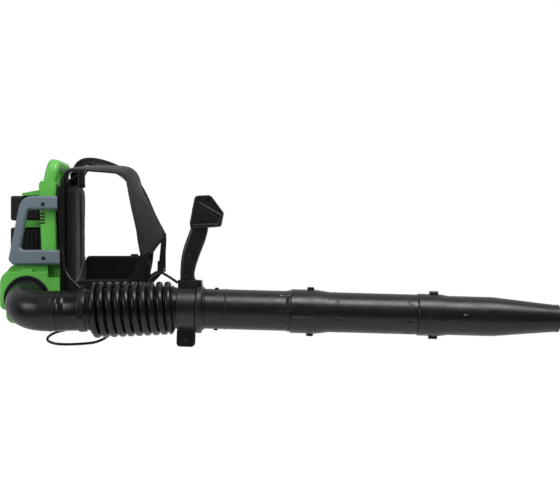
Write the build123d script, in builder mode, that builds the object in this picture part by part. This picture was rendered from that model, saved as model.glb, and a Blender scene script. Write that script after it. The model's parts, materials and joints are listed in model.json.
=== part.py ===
from build123d import *
import os
from math import cos, pi, radians, sin, tan

# Battery backpack leaf blower, in millimetres.  +X is the way the wearer faces and the tubes
# point, +Y is the wearer's left and +Z is up.  The fan axis crosses X = 0 and Y = 0 is the
# middle of the body.  The base stands on Z = 0.

os.makedirs("parts", exist_ok=True)

# Clearances
play = 0.3
shaft_play = 0.05
tip_gap = 1.0

# Fan duct and its housing
duct_radius = 58.0
duct_wall = 14.0
base_wall = 8.0
roof_wall = 32.0
front_wall = 30.0
housing_half = 125.0
seat_land = 3.0
seat_depth = 10.0
fan_height = duct_radius + base_wall
housing_rear = -(duct_radius + duct_wall)
housing_front = duct_radius + front_wall
housing_top = fan_height + duct_radius + roof_wall
foot_rear = housing_rear + 17.0
notch_height = fan_height - 30.0
shoulder_height = fan_height + 54.0
roof_rear = housing_rear + 31.0
ledge_height = fan_height + 70.0
ledge_depth = 12.0
bay_start = duct_radius - 3.0
bay_depth = 28.0

# Fan and motor
hub_radius = 28.0
blade_count = 9
blade_thickness = 2.6
impeller_length = 32.0
impeller_start = 30.0
nose_length = 20.0
shaft_radius = 4.0
bearing_radius = 11.0
bearing_width = 7.0
motor_radius = 30.0
motor_length = 54.0
stator_wall = 3.0
vane_count = 7

# Elbow and the line of the hose
tube_radius = 52.0
tube_wall = 3.5
elbow_neck = 25.0
elbow_bend = 70.0
elbow_tail = 5.0
elbow_dip = 18.1
hose_rise = 1.5
tube_droop = 1.6
elbow_bead = 21.0
spigot_length = 56.0

# Ribbed hose
hose_wall = 2.4
rib_count = 10
rib_radius_rear = 73.0
rib_radius_front = 69.0
rib_pitch = 21.7
cuff_length = 88.3
hose_lip = 7.0
lip_length = 3.0
lip_wall = 3.0

# Handle clamp and swivel
clamp_length = 49.0
clamp_wall = 4.7
ear_drop = 44.0
ear_thickness = 7.0
ear_gap = 5.0
bolt_radius = 3.0
collar_radius = 64.0
collar_length = 20.0
cuff_radius = 51.0
cuff_flange = 4.0

# Tubes, measured along their own line from the rear edge of the clamp
upper_socket_end = 126.0
upper_end = 293.0
socket_length = 60.0
socket_radius = 57.0
middle_end = 622.0
nozzle_hub_radius = 54.4
nozzle_hub_length = 58.0
nozzle_radius = 50.8
nozzle_cone_start = 818.0
nozzle_length = 368.0
mouth_radius = 35.6
mouth_wall = 2.6
mouth_length = 14.0
spigot_reach = 52.0
lug_height = 3.0
lug_size = 9.0
middle_swing = 70.0
nozzle_swing = 56.0
dimple_count = 7
dimple_depth = 1.8
dimple_width = 12.0
dimple_half = 22.0

# Control handle
grip_half = 17.0
head_half = 23.0
trigger_half = 8.0
trigger_pivot_radius = 2.0
button_radius = 7.0
lever_radius = 11.0

# Battery packs and their dock
pack_length = 102.0
pack_half = 50.0
pack_height = 67.5
pack_rear = -60.0
dock_floor = housing_top + 33.6
dock_shelf = 18.6
dock_half = 62.0
dock_back = 60.0
dock_wall = 10.0
terminal_depth = dock_back - (pack_rear + pack_length) - play
blade_reach = 14.0

# Columns, guards, carry handle, back frame
guard_thickness = 21.0
guard_top = 340.0
guard_bar = 36.0
guard_bottom = housing_top
guard_lower_bar = 40.0
column_rear = 29.0
column_lean = 7.0
column_front = 74.0
column_outer = housing_half - guard_thickness
hoop_rear = 33.0
hoop_depth = 34.0
hoop_lean = 12.0
hoop_half = 100.0
hoop_bar = 28.0
hoop_rounding = 12.0
hoop_top = 445.0
frame_rear = housing_front
frame_thickness = 9.0
frame_half = 118.0
frame_top = 392.0
frame_rail = 38.0
frame_spine = 16.0
flange_depth = 7.0
flange_width = 14.0
frame_windows = [(50.0, 146.0), (199.0, 319.0)]
pad_thickness = 25.0
pad_half = 100.0
pad_bottom = 65.0
pad_top = 379.0

# Harness
strap_thickness = 12.0
belt_thickness = 10.0
belt_low = 96.0
belt_high = 180.0
belt_reach = 310.0
belt_straight = 140.0
belt_tuck = 11.0
belt_sag = 64.0
buckle_drop = 5.0
buckle_low = 16.0
web_width = 26.0
load_width = 22.0
web_thickness = 2.0

# Control cable
cable_radius = 3.5

# The hose line leaves the elbow a little upward, the tube line droops a little from the clamp.
dip = radians(elbow_dip)
rise = radians(hose_rise)
droop = radians(tube_droop)
elbow_face = housing_half - seat_depth
elbow_run = elbow_neck + elbow_bend
line_y = -(elbow_face + elbow_run * cos(dip))
line_z = fan_height - elbow_run * sin(dip)
line_x = elbow_bend + elbow_tail
hose_plane = Plane(
    origin=(line_x, line_y, line_z), x_dir=(cos(rise), 0, sin(rise)), z_dir=(0, -1, 0)
)
hose_axis = Axis(hose_plane.origin, hose_plane.x_dir)

# Rib positions along the hose line
hose_start = elbow_bead + play
rib_start = elbow_bead + cuff_length
hose_end = rib_start + rib_count * rib_pitch
clamp_start = hose_end + hose_lip + 2 * play
clamp_point = hose_plane.from_local_coords(Vector(clamp_start, 0, 0))
tube_plane = Plane(
    origin=clamp_point, x_dir=(cos(droop), 0, -sin(droop)), z_dir=(0, -1, 0)
)
tube_axis = Axis(tube_plane.origin, tube_plane.x_dir)
grip_plane = Plane(origin=clamp_point, x_dir=(1, 0, 0), z_dir=(0, -1, 0))


def save(part, name):
    """Name the part and write its file."""
    part.label = name
    export_step(part, "parts/" + name + ".step")


def corner_of(vertices, point):
    """The corner of a flat outline that lies nearest to a point."""
    return vertices.sort_by_distance(point)[0]


def outline_face(rows):
    """A flat outline from rows of across, up and corner rounding, as a face."""
    with BuildSketch() as outline:
        with BuildLine():
            Polyline(*[row[:2] for row in rows], close=True)
        make_face()
        for across, up, rounding in rows:
            if rounding > 0:
                fillet(corner_of(outline.vertices(), (across, up, 0)), rounding)
    return outline.sketch


def line_point(plane, along, up, out=0.0):
    """A point on a plane's own axes: along its line, up from it, and to the wearer's left."""
    return plane.from_local_coords(Vector(along, up, -out))


# Fan housing: two mirrored halves that meet on the middle plane of the body
housing_outline = [
    (foot_rear, 0, 22.0),
    (foot_rear, notch_height, 0.0),
    (housing_rear, notch_height, 16.0),
    (housing_rear, shoulder_height, 40.0),
    (roof_rear, housing_top, 20.0),
    (housing_front, housing_top, 0.0),
    (housing_front, 0, 8.0),
]


def fan_housing(side):
    """One half of the fan housing; side is -1 for the right half and 1 for the left."""
    outer = side * housing_half
    with BuildPart() as half:
        with BuildSketch(Plane.XZ):
            add(outline_face(housing_outline))
        extrude(amount=-outer)
        face = half.faces().filter_by(Axis.Y).sort_by(Axis.Y)[0 if side < 0 else -1]
        fillet(face.edges(), 4.0)
        with BuildSketch(Plane.XZ.offset(-outer)):
            with BuildLine():
                Polyline(
                    (housing_rear - 1, ledge_height),
                    (-14, ledge_height),
                    (-14, ledge_height + 9),
                    (14, ledge_height + 9),
                    (14, ledge_height),
                    (bay_start, ledge_height),
                    (bay_start, housing_top + 1),
                    (housing_rear - 1, housing_top + 1),
                    close=True,
                )
            make_face()
        extrude(amount=side * ledge_depth, mode=Mode.SUBTRACT)
        with BuildSketch(Plane.XZ.offset(-outer)):
            with BuildLine():
                Polyline(
                    (bay_start, ledge_height - 14),
                    (housing_front + 1, ledge_height - 14),
                    (housing_front + 1, housing_top + 1),
                    (bay_start, housing_top + 1),
                    close=True,
                )
            make_face()
        extrude(amount=side * bay_depth, mode=Mode.SUBTRACT)
        with BuildSketch(Plane.XZ.offset(-outer)):
            with Locations((0, fan_height)):
                Circle(duct_radius + seat_land)
        extrude(amount=side * seat_depth, mode=Mode.SUBTRACT)
        with BuildSketch(Plane.XZ):
            with Locations((0, fan_height)):
                Circle(duct_radius)
        extrude(amount=-outer, mode=Mode.SUBTRACT)
    return half.part


save(fan_housing(-1), "fan_housing_right")
save(fan_housing(1), "fan_housing_left")

# Intake grille: a thick rim in the left seat, rings and spokes across the opening
with BuildPart() as intake_grille:
    with BuildSketch(Plane.XZ.offset(-elbow_face)):
        with Locations((0, fan_height)):
            Circle(duct_radius + seat_land)
            Circle(duct_radius - 3, mode=Mode.SUBTRACT)
    extrude(amount=-seat_depth - 2)
    with BuildSketch(Plane.XZ.offset(-housing_half + 3)):
        with Locations((0, fan_height)):
            for radius in (16.0, 26.0, 36.0, 46.0):
                Circle(radius)
                Circle(radius - 3.0, mode=Mode.SUBTRACT)
            Circle(10.0)
            with PolarLocations(duct_radius / 2, 12):
                Rectangle(duct_radius - 4, 3.0)
    extrude(amount=-5)
save(intake_grille.part, "intake_grille")

# Stator: the ring and vanes that hold the motor in the middle of the duct
motor_rear = impeller_start - 12.0 - motor_length
with BuildPart() as stator:
    with BuildSketch(Plane.XZ.offset(-motor_rear)):
        with Locations((0, fan_height)):
            Circle(duct_radius)
            Circle(duct_radius - stator_wall, mode=Mode.SUBTRACT)
            Circle(motor_radius + stator_wall)
            Circle(motor_radius, mode=Mode.SUBTRACT)
            with PolarLocations((duct_radius + motor_radius) / 2, vane_count):
                Rectangle(duct_radius - motor_radius - stator_wall - 1, stator_wall)
    extrude(amount=-motor_length)
save(stator.part, "stator")

with BuildPart() as motor:
    with BuildSketch(Plane.XZ.offset(-motor_rear)):
        with Locations((0, fan_height)):
            Circle(motor_radius)
    extrude(amount=-motor_length)
    chamfer(motor.edges().filter_by(GeomType.CIRCLE), 2.0)
    with BuildSketch(Plane.XZ.offset(-motor_rear)):
        with Locations((0, fan_height)):
            Circle(bearing_radius)
    extrude(amount=-bearing_width, mode=Mode.SUBTRACT)
    with BuildSketch(Plane.XZ.offset(-motor_rear - motor_length)):
        with Locations((0, fan_height)):
            Circle(bearing_radius)
    extrude(amount=bearing_width, mode=Mode.SUBTRACT)
    with BuildSketch(Plane.XZ.offset(-motor_rear)):
        with Locations((0, fan_height)):
            Circle(shaft_radius + 2)
    extrude(amount=-motor_length, mode=Mode.SUBTRACT)
save(motor.part, "motor")

bearing_marks = {
    "bearing_outlet": motor_rear,
    "bearing_inlet": motor_rear + motor_length - bearing_width,
}
for bearing_name, bearing_mark in bearing_marks.items():
    with BuildPart() as bearing:
        with BuildSketch(Plane.XZ.offset(-bearing_mark)):
            with Locations((0, fan_height)):
                Circle(bearing_radius)
                Circle(shaft_radius + shaft_play, mode=Mode.SUBTRACT)
        extrude(amount=-bearing_width)
    save(bearing.part, bearing_name)

with BuildPart() as tail_cone:
    with BuildSketch(Plane.YZ):
        with BuildLine():
            cone_foot = (motor_rear, fan_height)
            Polyline(
                (motor_rear, fan_height + motor_radius + stator_wall),
                cone_foot,
                (motor_rear - 46, fan_height),
                (motor_rear - 42, fan_height + motor_radius * 0.25),
                (motor_rear - 26, fan_height + motor_radius * 0.7),
                close=True,
            )
        make_face()
    revolve(axis=Axis((0, 0, fan_height), (0, 1, 0)))
    with BuildSketch(Plane.XZ.offset(-motor_rear)):
        with Locations((0, fan_height)):
            Circle(bearing_radius)
    extrude(amount=2.0, mode=Mode.SUBTRACT)
save(tail_cone.part, "tail_cone")

# Impeller: hub, rounded nose and twisted blades, all turning with the shaft
blade_root = hub_radius - 2.0
blade_tip = duct_radius + 2.0
blade_middle = impeller_start + impeller_length / 2
nose_start = impeller_start + impeller_length
with BuildPart() as impeller:
    for blade in range(blade_count):
        turn = 2 * pi * blade / blade_count
        for radius, chord, pitch in ((blade_root, 30.0, 58.0), (blade_tip, 36.0, 32.0)):
            tilt = radians(pitch)
            with BuildSketch(
                Plane(
                    origin=(
                        radius * cos(turn),
                        blade_middle,
                        fan_height + radius * sin(turn),
                    ),
                    x_dir=(-sin(turn) * cos(tilt), sin(tilt), cos(turn) * cos(tilt)),
                    z_dir=(cos(turn), 0, sin(turn)),
                )
            ):
                Rectangle(chord, blade_thickness)
        loft()
    with BuildSketch(Plane.XZ):
        with Locations((0, fan_height)):
            Circle(duct_radius - tip_gap)
    extrude(amount=-housing_half, mode=Mode.INTERSECT)
    with BuildSketch(Plane.YZ):
        with BuildLine():
            Polyline(
                (nose_start, fan_height + hub_radius),
                (impeller_start, fan_height + hub_radius),
                (impeller_start, fan_height),
                (nose_start + nose_length, fan_height),
                (nose_start + nose_length * 0.92, fan_height + hub_radius * 0.34),
                (nose_start + nose_length * 0.6, fan_height + hub_radius * 0.74),
                close=True,
            )
        make_face()
    revolve(axis=Axis((0, 0, fan_height), (0, 1, 0)))
    with BuildSketch(Plane.XZ.offset(-impeller_start)):
        with Locations((0, fan_height)):
            Circle(shaft_radius)
    extrude(amount=-impeller_length + 6, mode=Mode.SUBTRACT)
save(impeller.part, "impeller")

with BuildPart() as motor_shaft:
    with BuildSketch(Plane.XZ.offset(-motor_rear)):
        with Locations((0, fan_height)):
            Circle(shaft_radius)
    extrude(amount=-(impeller_start + impeller_length - 6 - motor_rear))
save(motor_shaft.part, "motor_shaft")

# Elbow: leaves the fan outlet to the right and dips, then bends to point forward
bead_lap = 3.0
bend_down = Vector(0, -cos(dip), -sin(dip))
elbow_root = Vector(0, -elbow_face, fan_height)
bend_plane = Plane(origin=elbow_root, x_dir=(1, 0, 0), z_dir=Vector(1, 0, 0).cross(bend_down))
with BuildPart() as elbow:
    with BuildLine(bend_plane) as bend:
        Line((0, -25), (0, elbow_neck))
        CenterArc((elbow_bend, elbow_neck), elbow_bend, 180, -90)
        Line((elbow_bend, elbow_run), (line_x + bead_lap, elbow_run))
    with BuildSketch(Plane(origin=bend.line @ 0, z_dir=bend.line % 0)):
        Circle(tube_radius)
        Circle(tube_radius - tube_wall, mode=Mode.SUBTRACT)
    sweep(path=bend.line)
    split(bisect_by=Plane.XZ.offset(elbow_face), keep=Keep.TOP)
    with BuildSketch(Plane.XZ.offset(elbow_face)):
        with Locations((0, fan_height)):
            Circle(duct_radius + seat_land - play)
            Circle(tube_radius - tube_wall - 1, mode=Mode.SUBTRACT)
    extrude(amount=seat_depth / 2)
    with BuildSketch(hose_plane):
        with BuildLine():
            Polyline(
                (0, tube_radius - tube_wall - 3.5),
                (elbow_bead + spigot_length, tube_radius - tube_wall - 3.5),
                (elbow_bead + spigot_length, tube_radius - tube_wall),
                (elbow_bead, tube_radius - tube_wall),
                (elbow_bead, tube_radius + 1),
                (elbow_bead - 3, tube_radius + 1),
                (elbow_bead - 4, tube_radius),
                (elbow_bead - 11, tube_radius),
                (elbow_bead - 12, tube_radius + 1),
                (0, tube_radius + 1),
                close=True,
            )
        make_face()
    revolve(axis=hose_axis)
save(elbow.part, "elbow")

# Outlet ring: holds the flange of the elbow in its seat
ring_rise = 2.0
ring_gap = 1.0
with BuildPart() as outlet_ring:
    with BuildSketch(Plane.XZ.offset(elbow_face + seat_depth / 2)):
        with Locations((0, fan_height)):
            Circle(duct_radius + seat_land)
    extrude(amount=seat_depth / 2 + ring_rise)
    chamfer(outlet_ring.edges().filter_by(GeomType.CIRCLE).sort_by(Axis.Y)[0], 1.0)
    with BuildSketch(Plane(origin=elbow_root, x_dir=(1, 0, 0), z_dir=bend_down)):
        Circle(tube_radius + ring_gap)
    extrude(amount=2 * elbow_neck, both=True, mode=Mode.SUBTRACT)
save(outlet_ring.part, "outlet_ring")

# Ribbed hose: smooth rear cuff, ten ribs and a short front lip round the handle tube
hose_inner = tube_radius - tube_wall + play
hose_outer = tube_radius + 0.4
valley_radius = 56.0
rib_foot = 0.08
rib_crown = 0.26


def rib_rings(inset):
    """Distance and radius of four circles for each rib, all moved inward by an inset."""
    rings = []
    for rib in range(rib_count):
        start = rib_start + rib * rib_pitch
        share = rib / (rib_count - 1)
        crest = rib_radius_rear + (rib_radius_front - rib_radius_rear) * share
        rings.append((start + rib_foot * rib_pitch, valley_radius - inset))
        rings.append((start + rib_crown * rib_pitch, crest - inset))
        rings.append((start + (1 - rib_crown) * rib_pitch, crest - inset))
        rings.append((start + (1 - rib_foot) * rib_pitch, valley_radius - inset))
    return rings


def hose_ring(mark, radius):
    """A circle round the hose line, as its plane and radius."""
    origin = line_point(hose_plane, mark, 0)
    return Plane(origin=origin, x_dir=(0, 1, 0), z_dir=hose_plane.x_dir), radius


def lip_ring(mark, radius):
    """A circle round the tube line, where the hose ends against the clamp."""
    origin = line_point(tube_plane, mark, 0)
    return Plane(origin=origin, x_dir=(0, 1, 0), z_dir=tube_plane.x_dir), radius


lip_end = -2 * play
lip_inner = cuff_radius + play
lip_outer = lip_inner + lip_wall
outer_rings = [hose_ring(hose_start, hose_outer), hose_ring(rib_start, hose_outer)]
outer_rings += [hose_ring(mark, radius) for mark, radius in rib_rings(0)]
outer_rings += [lip_ring(lip_end - lip_length, lip_outer), lip_ring(lip_end, lip_outer)]
inner_rings = [hose_ring(hose_start, hose_inner), hose_ring(rib_start - hose_wall, hose_inner)]
inner_rings += [hose_ring(mark, radius) for mark, radius in rib_rings(hose_wall)]
inner_rings += [lip_ring(lip_end - lip_length, lip_inner), lip_ring(lip_end, lip_inner)]
with BuildPart() as hose:
    for plane, radius in outer_rings:
        with BuildSketch(plane):
            Circle(radius)
    loft(ruled=True)
    for plane, radius in inner_rings:
        with BuildSketch(plane):
            Circle(radius)
    loft(ruled=True, mode=Mode.SUBTRACT)
save(hose.part, "hose")

# Rear hose clamp: a band with a screw block on the near side and a cable clip on top
band_start = elbow_bead + 57.0
band_width = 20.0
band_wall = 3.6
clip_point = line_point(hose_plane, band_start + band_width / 2, hose_outer + band_wall)
with BuildPart() as hose_clamp:
    with BuildSketch(hose_plane):
        with BuildLine():
            Polyline(
                (band_start, hose_outer),
                (band_start + band_width, hose_outer),
                (band_start + band_width, hose_outer + band_wall - 1.2),
                (band_start + band_width - 3, hose_outer + band_wall),
                (band_start + 3, hose_outer + band_wall),
                (band_start, hose_outer + band_wall - 1.2),
                close=True,
            )
        make_face()
    revolve(axis=hose_axis)
    block_plane = Plane(
        origin=line_point(hose_plane, band_start + band_width / 2, 0, -hose_outer),
        x_dir=hose_plane.x_dir,
        z_dir=(0, -1, 0),
    )
    with BuildSketch(block_plane):
        with Locations((0, -12)):
            RectangleRounded(12, 16, 2)
    extrude(amount=9)
    with BuildSketch(Plane(origin=clip_point, x_dir=(0, 1, 0), z_dir=hose_plane.x_dir)):
        with Locations((0, cable_radius)):
            Circle(cable_radius + play + 2)
        with Locations((0, 0.4)):
            Rectangle(2 * cable_radius + 4, 3)
        with Locations((0, cable_radius)):
            Circle(cable_radius + play, mode=Mode.SUBTRACT)
    extrude(amount=band_width / 4, both=True)
save(hose_clamp.part, "hose_clamp")

# Front cuff: the short tube that the hose, the handle clamp and the swivel sit on
cuff_end = clamp_length + 11.0
with BuildPart() as front_cuff:
    with BuildSketch(tube_plane):
        with BuildLine():
            Polyline(
                (-34, cuff_radius - tube_wall),
                (cuff_end, cuff_radius - tube_wall),
                (cuff_end, cuff_radius + cuff_flange),
                (cuff_end - 4, cuff_radius + cuff_flange),
                (cuff_end - 4, cuff_radius),
                (-32, cuff_radius),
                (-34, cuff_radius - 1.5),
                close=True,
            )
        make_face()
    revolve(axis=tube_axis)
save(front_cuff.part, "front_cuff")

# Handle clamp: a band round the cuff, two ears with a bolt below, a saddle for the grip above
clamp_inner = cuff_radius + play
clamp_outer = clamp_inner + clamp_wall
ear_low = -(clamp_outer + ear_drop)
bolt_along = clamp_length / 2
bolt_drop = -(clamp_outer + 26)
saddle_low = collar_radius + 2.0
saddle_top = 73.0
saddle_half = grip_half + 9.0
ear_half = ear_gap / 2 + ear_thickness
with BuildPart() as handle_clamp:
    with BuildSketch(tube_plane):
        with BuildLine():
            Polyline(
                (0, 0),
                (clamp_length, 0),
                (clamp_length, clamp_outer - 1.5),
                (clamp_length - 1.5, clamp_outer),
                (1.5, clamp_outer),
                (0, clamp_outer - 1.5),
                close=True,
            )
        make_face()
    revolve(axis=tube_axis)
    with BuildSketch(tube_plane) as ears:
        with Locations((clamp_length / 2, (ear_low - cuff_radius) / 2)):
            Rectangle(clamp_length - 1, -ear_low - cuff_radius)
        fillet(ears.vertices().group_by(Axis.Z)[0], 10.0)
    extrude(amount=ear_half, both=True)
    with BuildSketch(grip_plane):
        with BuildLine():
            Polyline(
                (3, 40),
                (64, 40),
                (64, saddle_top - 1),
                (48, saddle_top),
                (3, saddle_top),
                close=True,
            )
        make_face()
    extrude(amount=saddle_half, both=True)
    with BuildSketch(tube_plane):
        with BuildLine():
            Polyline(
                (clamp_length - 1, 0),
                (130, 0),
                (130, saddle_low),
                (clamp_length - 1, saddle_low),
                close=True,
            )
        make_face()
    revolve(axis=tube_axis, mode=Mode.SUBTRACT)
    with BuildSketch(tube_plane):
        with Locations((clamp_length / 2, ear_low / 2)):
            Rectangle(clamp_length + 2, -ear_low + 2)
    extrude(amount=ear_gap / 2, both=True, mode=Mode.SUBTRACT)
    with BuildSketch(tube_plane):
        with Locations((bolt_along, bolt_drop)):
            Circle(bolt_radius + play)
    extrude(amount=ear_half + 1, both=True, mode=Mode.SUBTRACT)
    with BuildSketch(tube_plane):
        with BuildLine():
            Polyline(
                (-60, 0),
                (130, 0),
                (130, clamp_inner),
                (-60, clamp_inner),
                close=True,
            )
        make_face()
    revolve(axis=tube_axis, mode=Mode.SUBTRACT)
save(handle_clamp.part, "handle_clamp")

with BuildPart() as clamp_bolt:
    with BuildSketch(tube_plane):
        with Locations((bolt_along, bolt_drop)):
            Circle(bolt_radius)
    extrude(amount=ear_half, both=True)
    with BuildSketch(tube_plane.offset(ear_half)):
        with Locations((bolt_along, bolt_drop)):
            Circle(bolt_radius * 2)
    extrude(amount=4)
    with BuildSketch(tube_plane.offset(ear_half + 4)):
        with Locations((bolt_along, bolt_drop)):
            RegularPolygon(bolt_radius, 6)
    extrude(amount=-2.5, mode=Mode.SUBTRACT)
    with BuildSketch(tube_plane.offset(-ear_half)):
        with Locations((bolt_along, bolt_drop)):
            RegularPolygon(bolt_radius * 2, 6)
    extrude(amount=-5)
save(clamp_bolt.part, "clamp_bolt")

# Swivel: a collar pressed on the swivel tube holds the flange of the cuff, so the tubes can turn
collar_start = clamp_length + 2 * play
flange_rear = cuff_end - 4 - play
flange_front = cuff_end + play
collar_end = collar_start + collar_length
spigot_radius = tube_radius - tube_wall
with BuildPart() as swivel_collar:
    with BuildSketch(tube_plane):
        with BuildLine():
            Polyline(
                (collar_start, cuff_radius + play),
                (flange_rear, cuff_radius + play),
                (flange_rear, cuff_radius + cuff_flange + play),
                (flange_front, cuff_radius + cuff_flange + play),
                (flange_front, tube_radius),
                (collar_end, tube_radius),
                (collar_end, tube_radius + 3),
                (collar_end - 4, tube_radius + 5),
                (collar_end - 5, collar_radius - 2),
                (collar_end - 7, collar_radius),
                (collar_start + 2, collar_radius),
                (collar_start, collar_radius - 2),
                close=True,
            )
        make_face()
    revolve(axis=tube_axis)
save(swivel_collar.part, "swivel_collar")

pip_mark = 101.0
pip_length = 10.0
with BuildPart() as swivel_tube:
    with BuildSketch(tube_plane):
        with BuildLine():
            Polyline(
                (flange_front, spigot_radius - tube_wall),
                (upper_socket_end - 4, spigot_radius - tube_wall),
                (upper_socket_end - 4, spigot_radius),
                (collar_end + 2, spigot_radius),
                (collar_end + 2, tube_radius),
                (flange_front, tube_radius),
                close=True,
            )
        make_face()
    revolve(axis=tube_axis)
    for up in (1, -1):
        pip_plane = Plane(
            origin=line_point(tube_plane, pip_mark, up * (spigot_radius - 1)),
            x_dir=tube_plane.x_dir,
            z_dir=tube_plane.y_dir * up,
        )
        with BuildSketch(pip_plane):
            RectangleRounded(pip_length, pip_length, 2.0)
        extrude(amount=tube_wall + 4.5)
save(swivel_tube.part, "swivel_tube")


def ring_sector(rear, front, low, high, first, arc):
    """A piece of a ring round the tube line, from a first turn over an arc; the top is turn 0."""
    angle = radians(first)
    outward = tube_plane.y_dir * cos(angle) + tube_plane.z_dir * sin(angle)
    with BuildPart() as sector:
        with BuildSketch(
            Plane(
                origin=tube_plane.origin,
                x_dir=tube_plane.x_dir,
                z_dir=tube_plane.x_dir.cross(outward),
            )
        ):
            with Locations(((rear + front) / 2, (low + high) / 2)):
                Rectangle(front - rear, high - low)
        revolve(axis=tube_axis, revolution_arc=arc)
    return sector.part


def dimples(mark, radius, first):
    """Long shallow finger dimples round a tube from a first turn, as one tool of double cones."""
    end_width = dimple_width - dimple_depth - 0.5
    with BuildPart() as tool:
        for step in range(dimple_count):
            turn = radians(first) + 2 * pi * step / dimple_count
            outward = tube_plane.y_dir * cos(turn) + tube_plane.z_dir * sin(turn)
            middle = tube_plane.from_local_coords(Vector(mark, 0, 0))
            spindle = Plane(
                origin=middle + outward * (radius + dimple_width - dimple_depth),
                x_dir=tube_plane.x_dir,
                z_dir=tube_plane.x_dir.cross(outward),
            )
            with BuildSketch(spindle):
                with BuildLine():
                    Polyline(
                        (-dimple_half, 0),
                        (-dimple_half, -end_width),
                        (0, -dimple_width),
                        (dimple_half, -end_width),
                        (dimple_half, 0),
                        close=True,
                    )
                make_face()
            revolve(axis=Axis(spindle.origin, spindle.x_dir))
    return tool.part


def lugs(mark, radius):
    """Two bayonet lugs on a spigot, at the top and the bottom."""
    half = lug_size / 2
    with BuildPart() as pair:
        for turn in (0.0, 180.0):
            add(
                ring_sector(
                    mark - half,
                    mark + half,
                    radius - 1,
                    radius + lug_height,
                    turn - lug_arc,
                    2 * lug_arc,
                )
            )
    return pair.part


def channels(start, mark, low, high, spread, swing):
    """The two bayonet channels of a socket: one run along it from the rim, one run round it."""
    half = lug_size / 2 + spread
    arc = lug_arc + degrees_of(spread)
    with BuildPart() as pair:
        for turn in (0.0, 180.0):
            add(ring_sector(mark - half, mark + half, low, high, turn - swing - arc, swing + 2 * arc))
            add(ring_sector(start, mark + half, low, high, turn - swing - arc, 2 * arc))
    return pair.part


def bumps(mark, low, high, length):
    """The two raised ends of the bayonet channels, where the lugs come to rest."""
    with BuildPart() as pair:
        for turn in (0.0, 180.0):
            add(ring_sector(mark - length / 2, mark + length / 2, low, high, turn - 9, 18))
        chamfer(pair.edges().group_by(Edge.length)[-1], 2.4)
    return pair.part


def degrees_of(length):
    """The turn that a length makes on the spigot."""
    return length / spigot_radius * 180 / pi


lug_arc = degrees_of(lug_size / 2)

# Upper tube: snapped on the swivel tube, ends in a spigot with two bayonet lugs
upper_lug = upper_end + 52.0
upper_spigot_end = upper_end + socket_length
middle_start = upper_end + 2 * play
nozzle_start = middle_end + 2 * play
middle_lug = middle_end + 43.0
middle_spigot_end = middle_end + spigot_reach
bore_radius = tube_radius - tube_wall
spigot_bore = spigot_radius - tube_wall
with BuildPart() as upper_tube:
    with BuildSketch(tube_plane):
        with BuildLine():
            Polyline(
                (collar_end + 2 + play, bore_radius),
                (upper_end - 20, bore_radius),
                (upper_end, spigot_bore),
                (upper_spigot_end, spigot_bore),
                (upper_spigot_end, spigot_radius - 1),
                (upper_spigot_end - 1, spigot_radius),
                (upper_end, spigot_radius),
                (upper_end, tube_radius + 2.4),
                (upper_end - 3, tube_radius + 2.4),
                (upper_end - 12, tube_radius),
                (upper_socket_end + 2.5, tube_radius),
                (upper_socket_end + 1.2, tube_radius + 1.4),
                (upper_socket_end - 1.2, tube_radius + 1.4),
                (upper_socket_end - 2.5, tube_radius),
                (collar_end + 2 + play, tube_radius),
                close=True,
            )
        make_face()
    revolve(axis=tube_axis)
    add(lugs(upper_lug, spigot_radius))
    add(dimples(upper_end - 22, tube_radius, -11.0), mode=Mode.SUBTRACT)
    for up in (1, -1):
        pip_hole = Plane(
            origin=line_point(tube_plane, pip_mark, up * (spigot_radius - 2)),
            x_dir=tube_plane.x_dir,
            z_dir=tube_plane.y_dir * up,
        )
        with BuildSketch(pip_hole):
            RectangleRounded(pip_length + 2 * play, pip_length + 2 * play, 2.0 + play)
        extrude(amount=tube_wall + 4, mode=Mode.SUBTRACT)
save(upper_tube.part, "upper_tube")

# Middle tube: a wide bayonet socket at the rear, a spigot with lugs at the front
socket_bore = spigot_radius + play
groove_radius = spigot_radius + lug_height + play
with BuildPart() as middle_tube:
    with BuildSketch(tube_plane):
        with BuildLine():
            Polyline(
                (middle_start, socket_bore),
                (upper_spigot_end + 1, socket_bore),
                (upper_spigot_end + 1, bore_radius - 2),
                (upper_spigot_end + 4, bore_radius - 2),
                (upper_spigot_end + 8, bore_radius),
                (middle_end - 20, bore_radius),
                (middle_end, spigot_bore),
                (middle_spigot_end, spigot_bore),
                (middle_spigot_end, spigot_radius - 1),
                (middle_spigot_end - 1, spigot_radius),
                (middle_end, spigot_radius),
                (middle_end, tube_radius),
                (middle_start + socket_length + 42, tube_radius),
                (middle_start + socket_length + 6, socket_radius),
                (middle_start + 2, socket_radius),
                (middle_start, socket_radius - 1.5),
                close=True,
            )
        make_face()
    revolve(axis=tube_axis)
    add(
        channels(
            middle_start + 4, upper_lug, socket_radius - 2, socket_radius + 2, 2.4, middle_swing
        )
    )
    add(bumps(upper_lug, socket_radius - 2, socket_radius + 7.0, 18.0))
    add(
        channels(middle_start - 1, upper_lug, socket_bore - 2, groove_radius, play, middle_swing),
        mode=Mode.SUBTRACT,
    )
    add(lugs(middle_lug, spigot_radius))
    add(dimples(middle_start + socket_length + 60, tube_radius, 4.0), mode=Mode.SUBTRACT)
    add(dimples(middle_end - 24, tube_radius, 4.0), mode=Mode.SUBTRACT)
save(middle_tube.part, "middle_tube")

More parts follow.
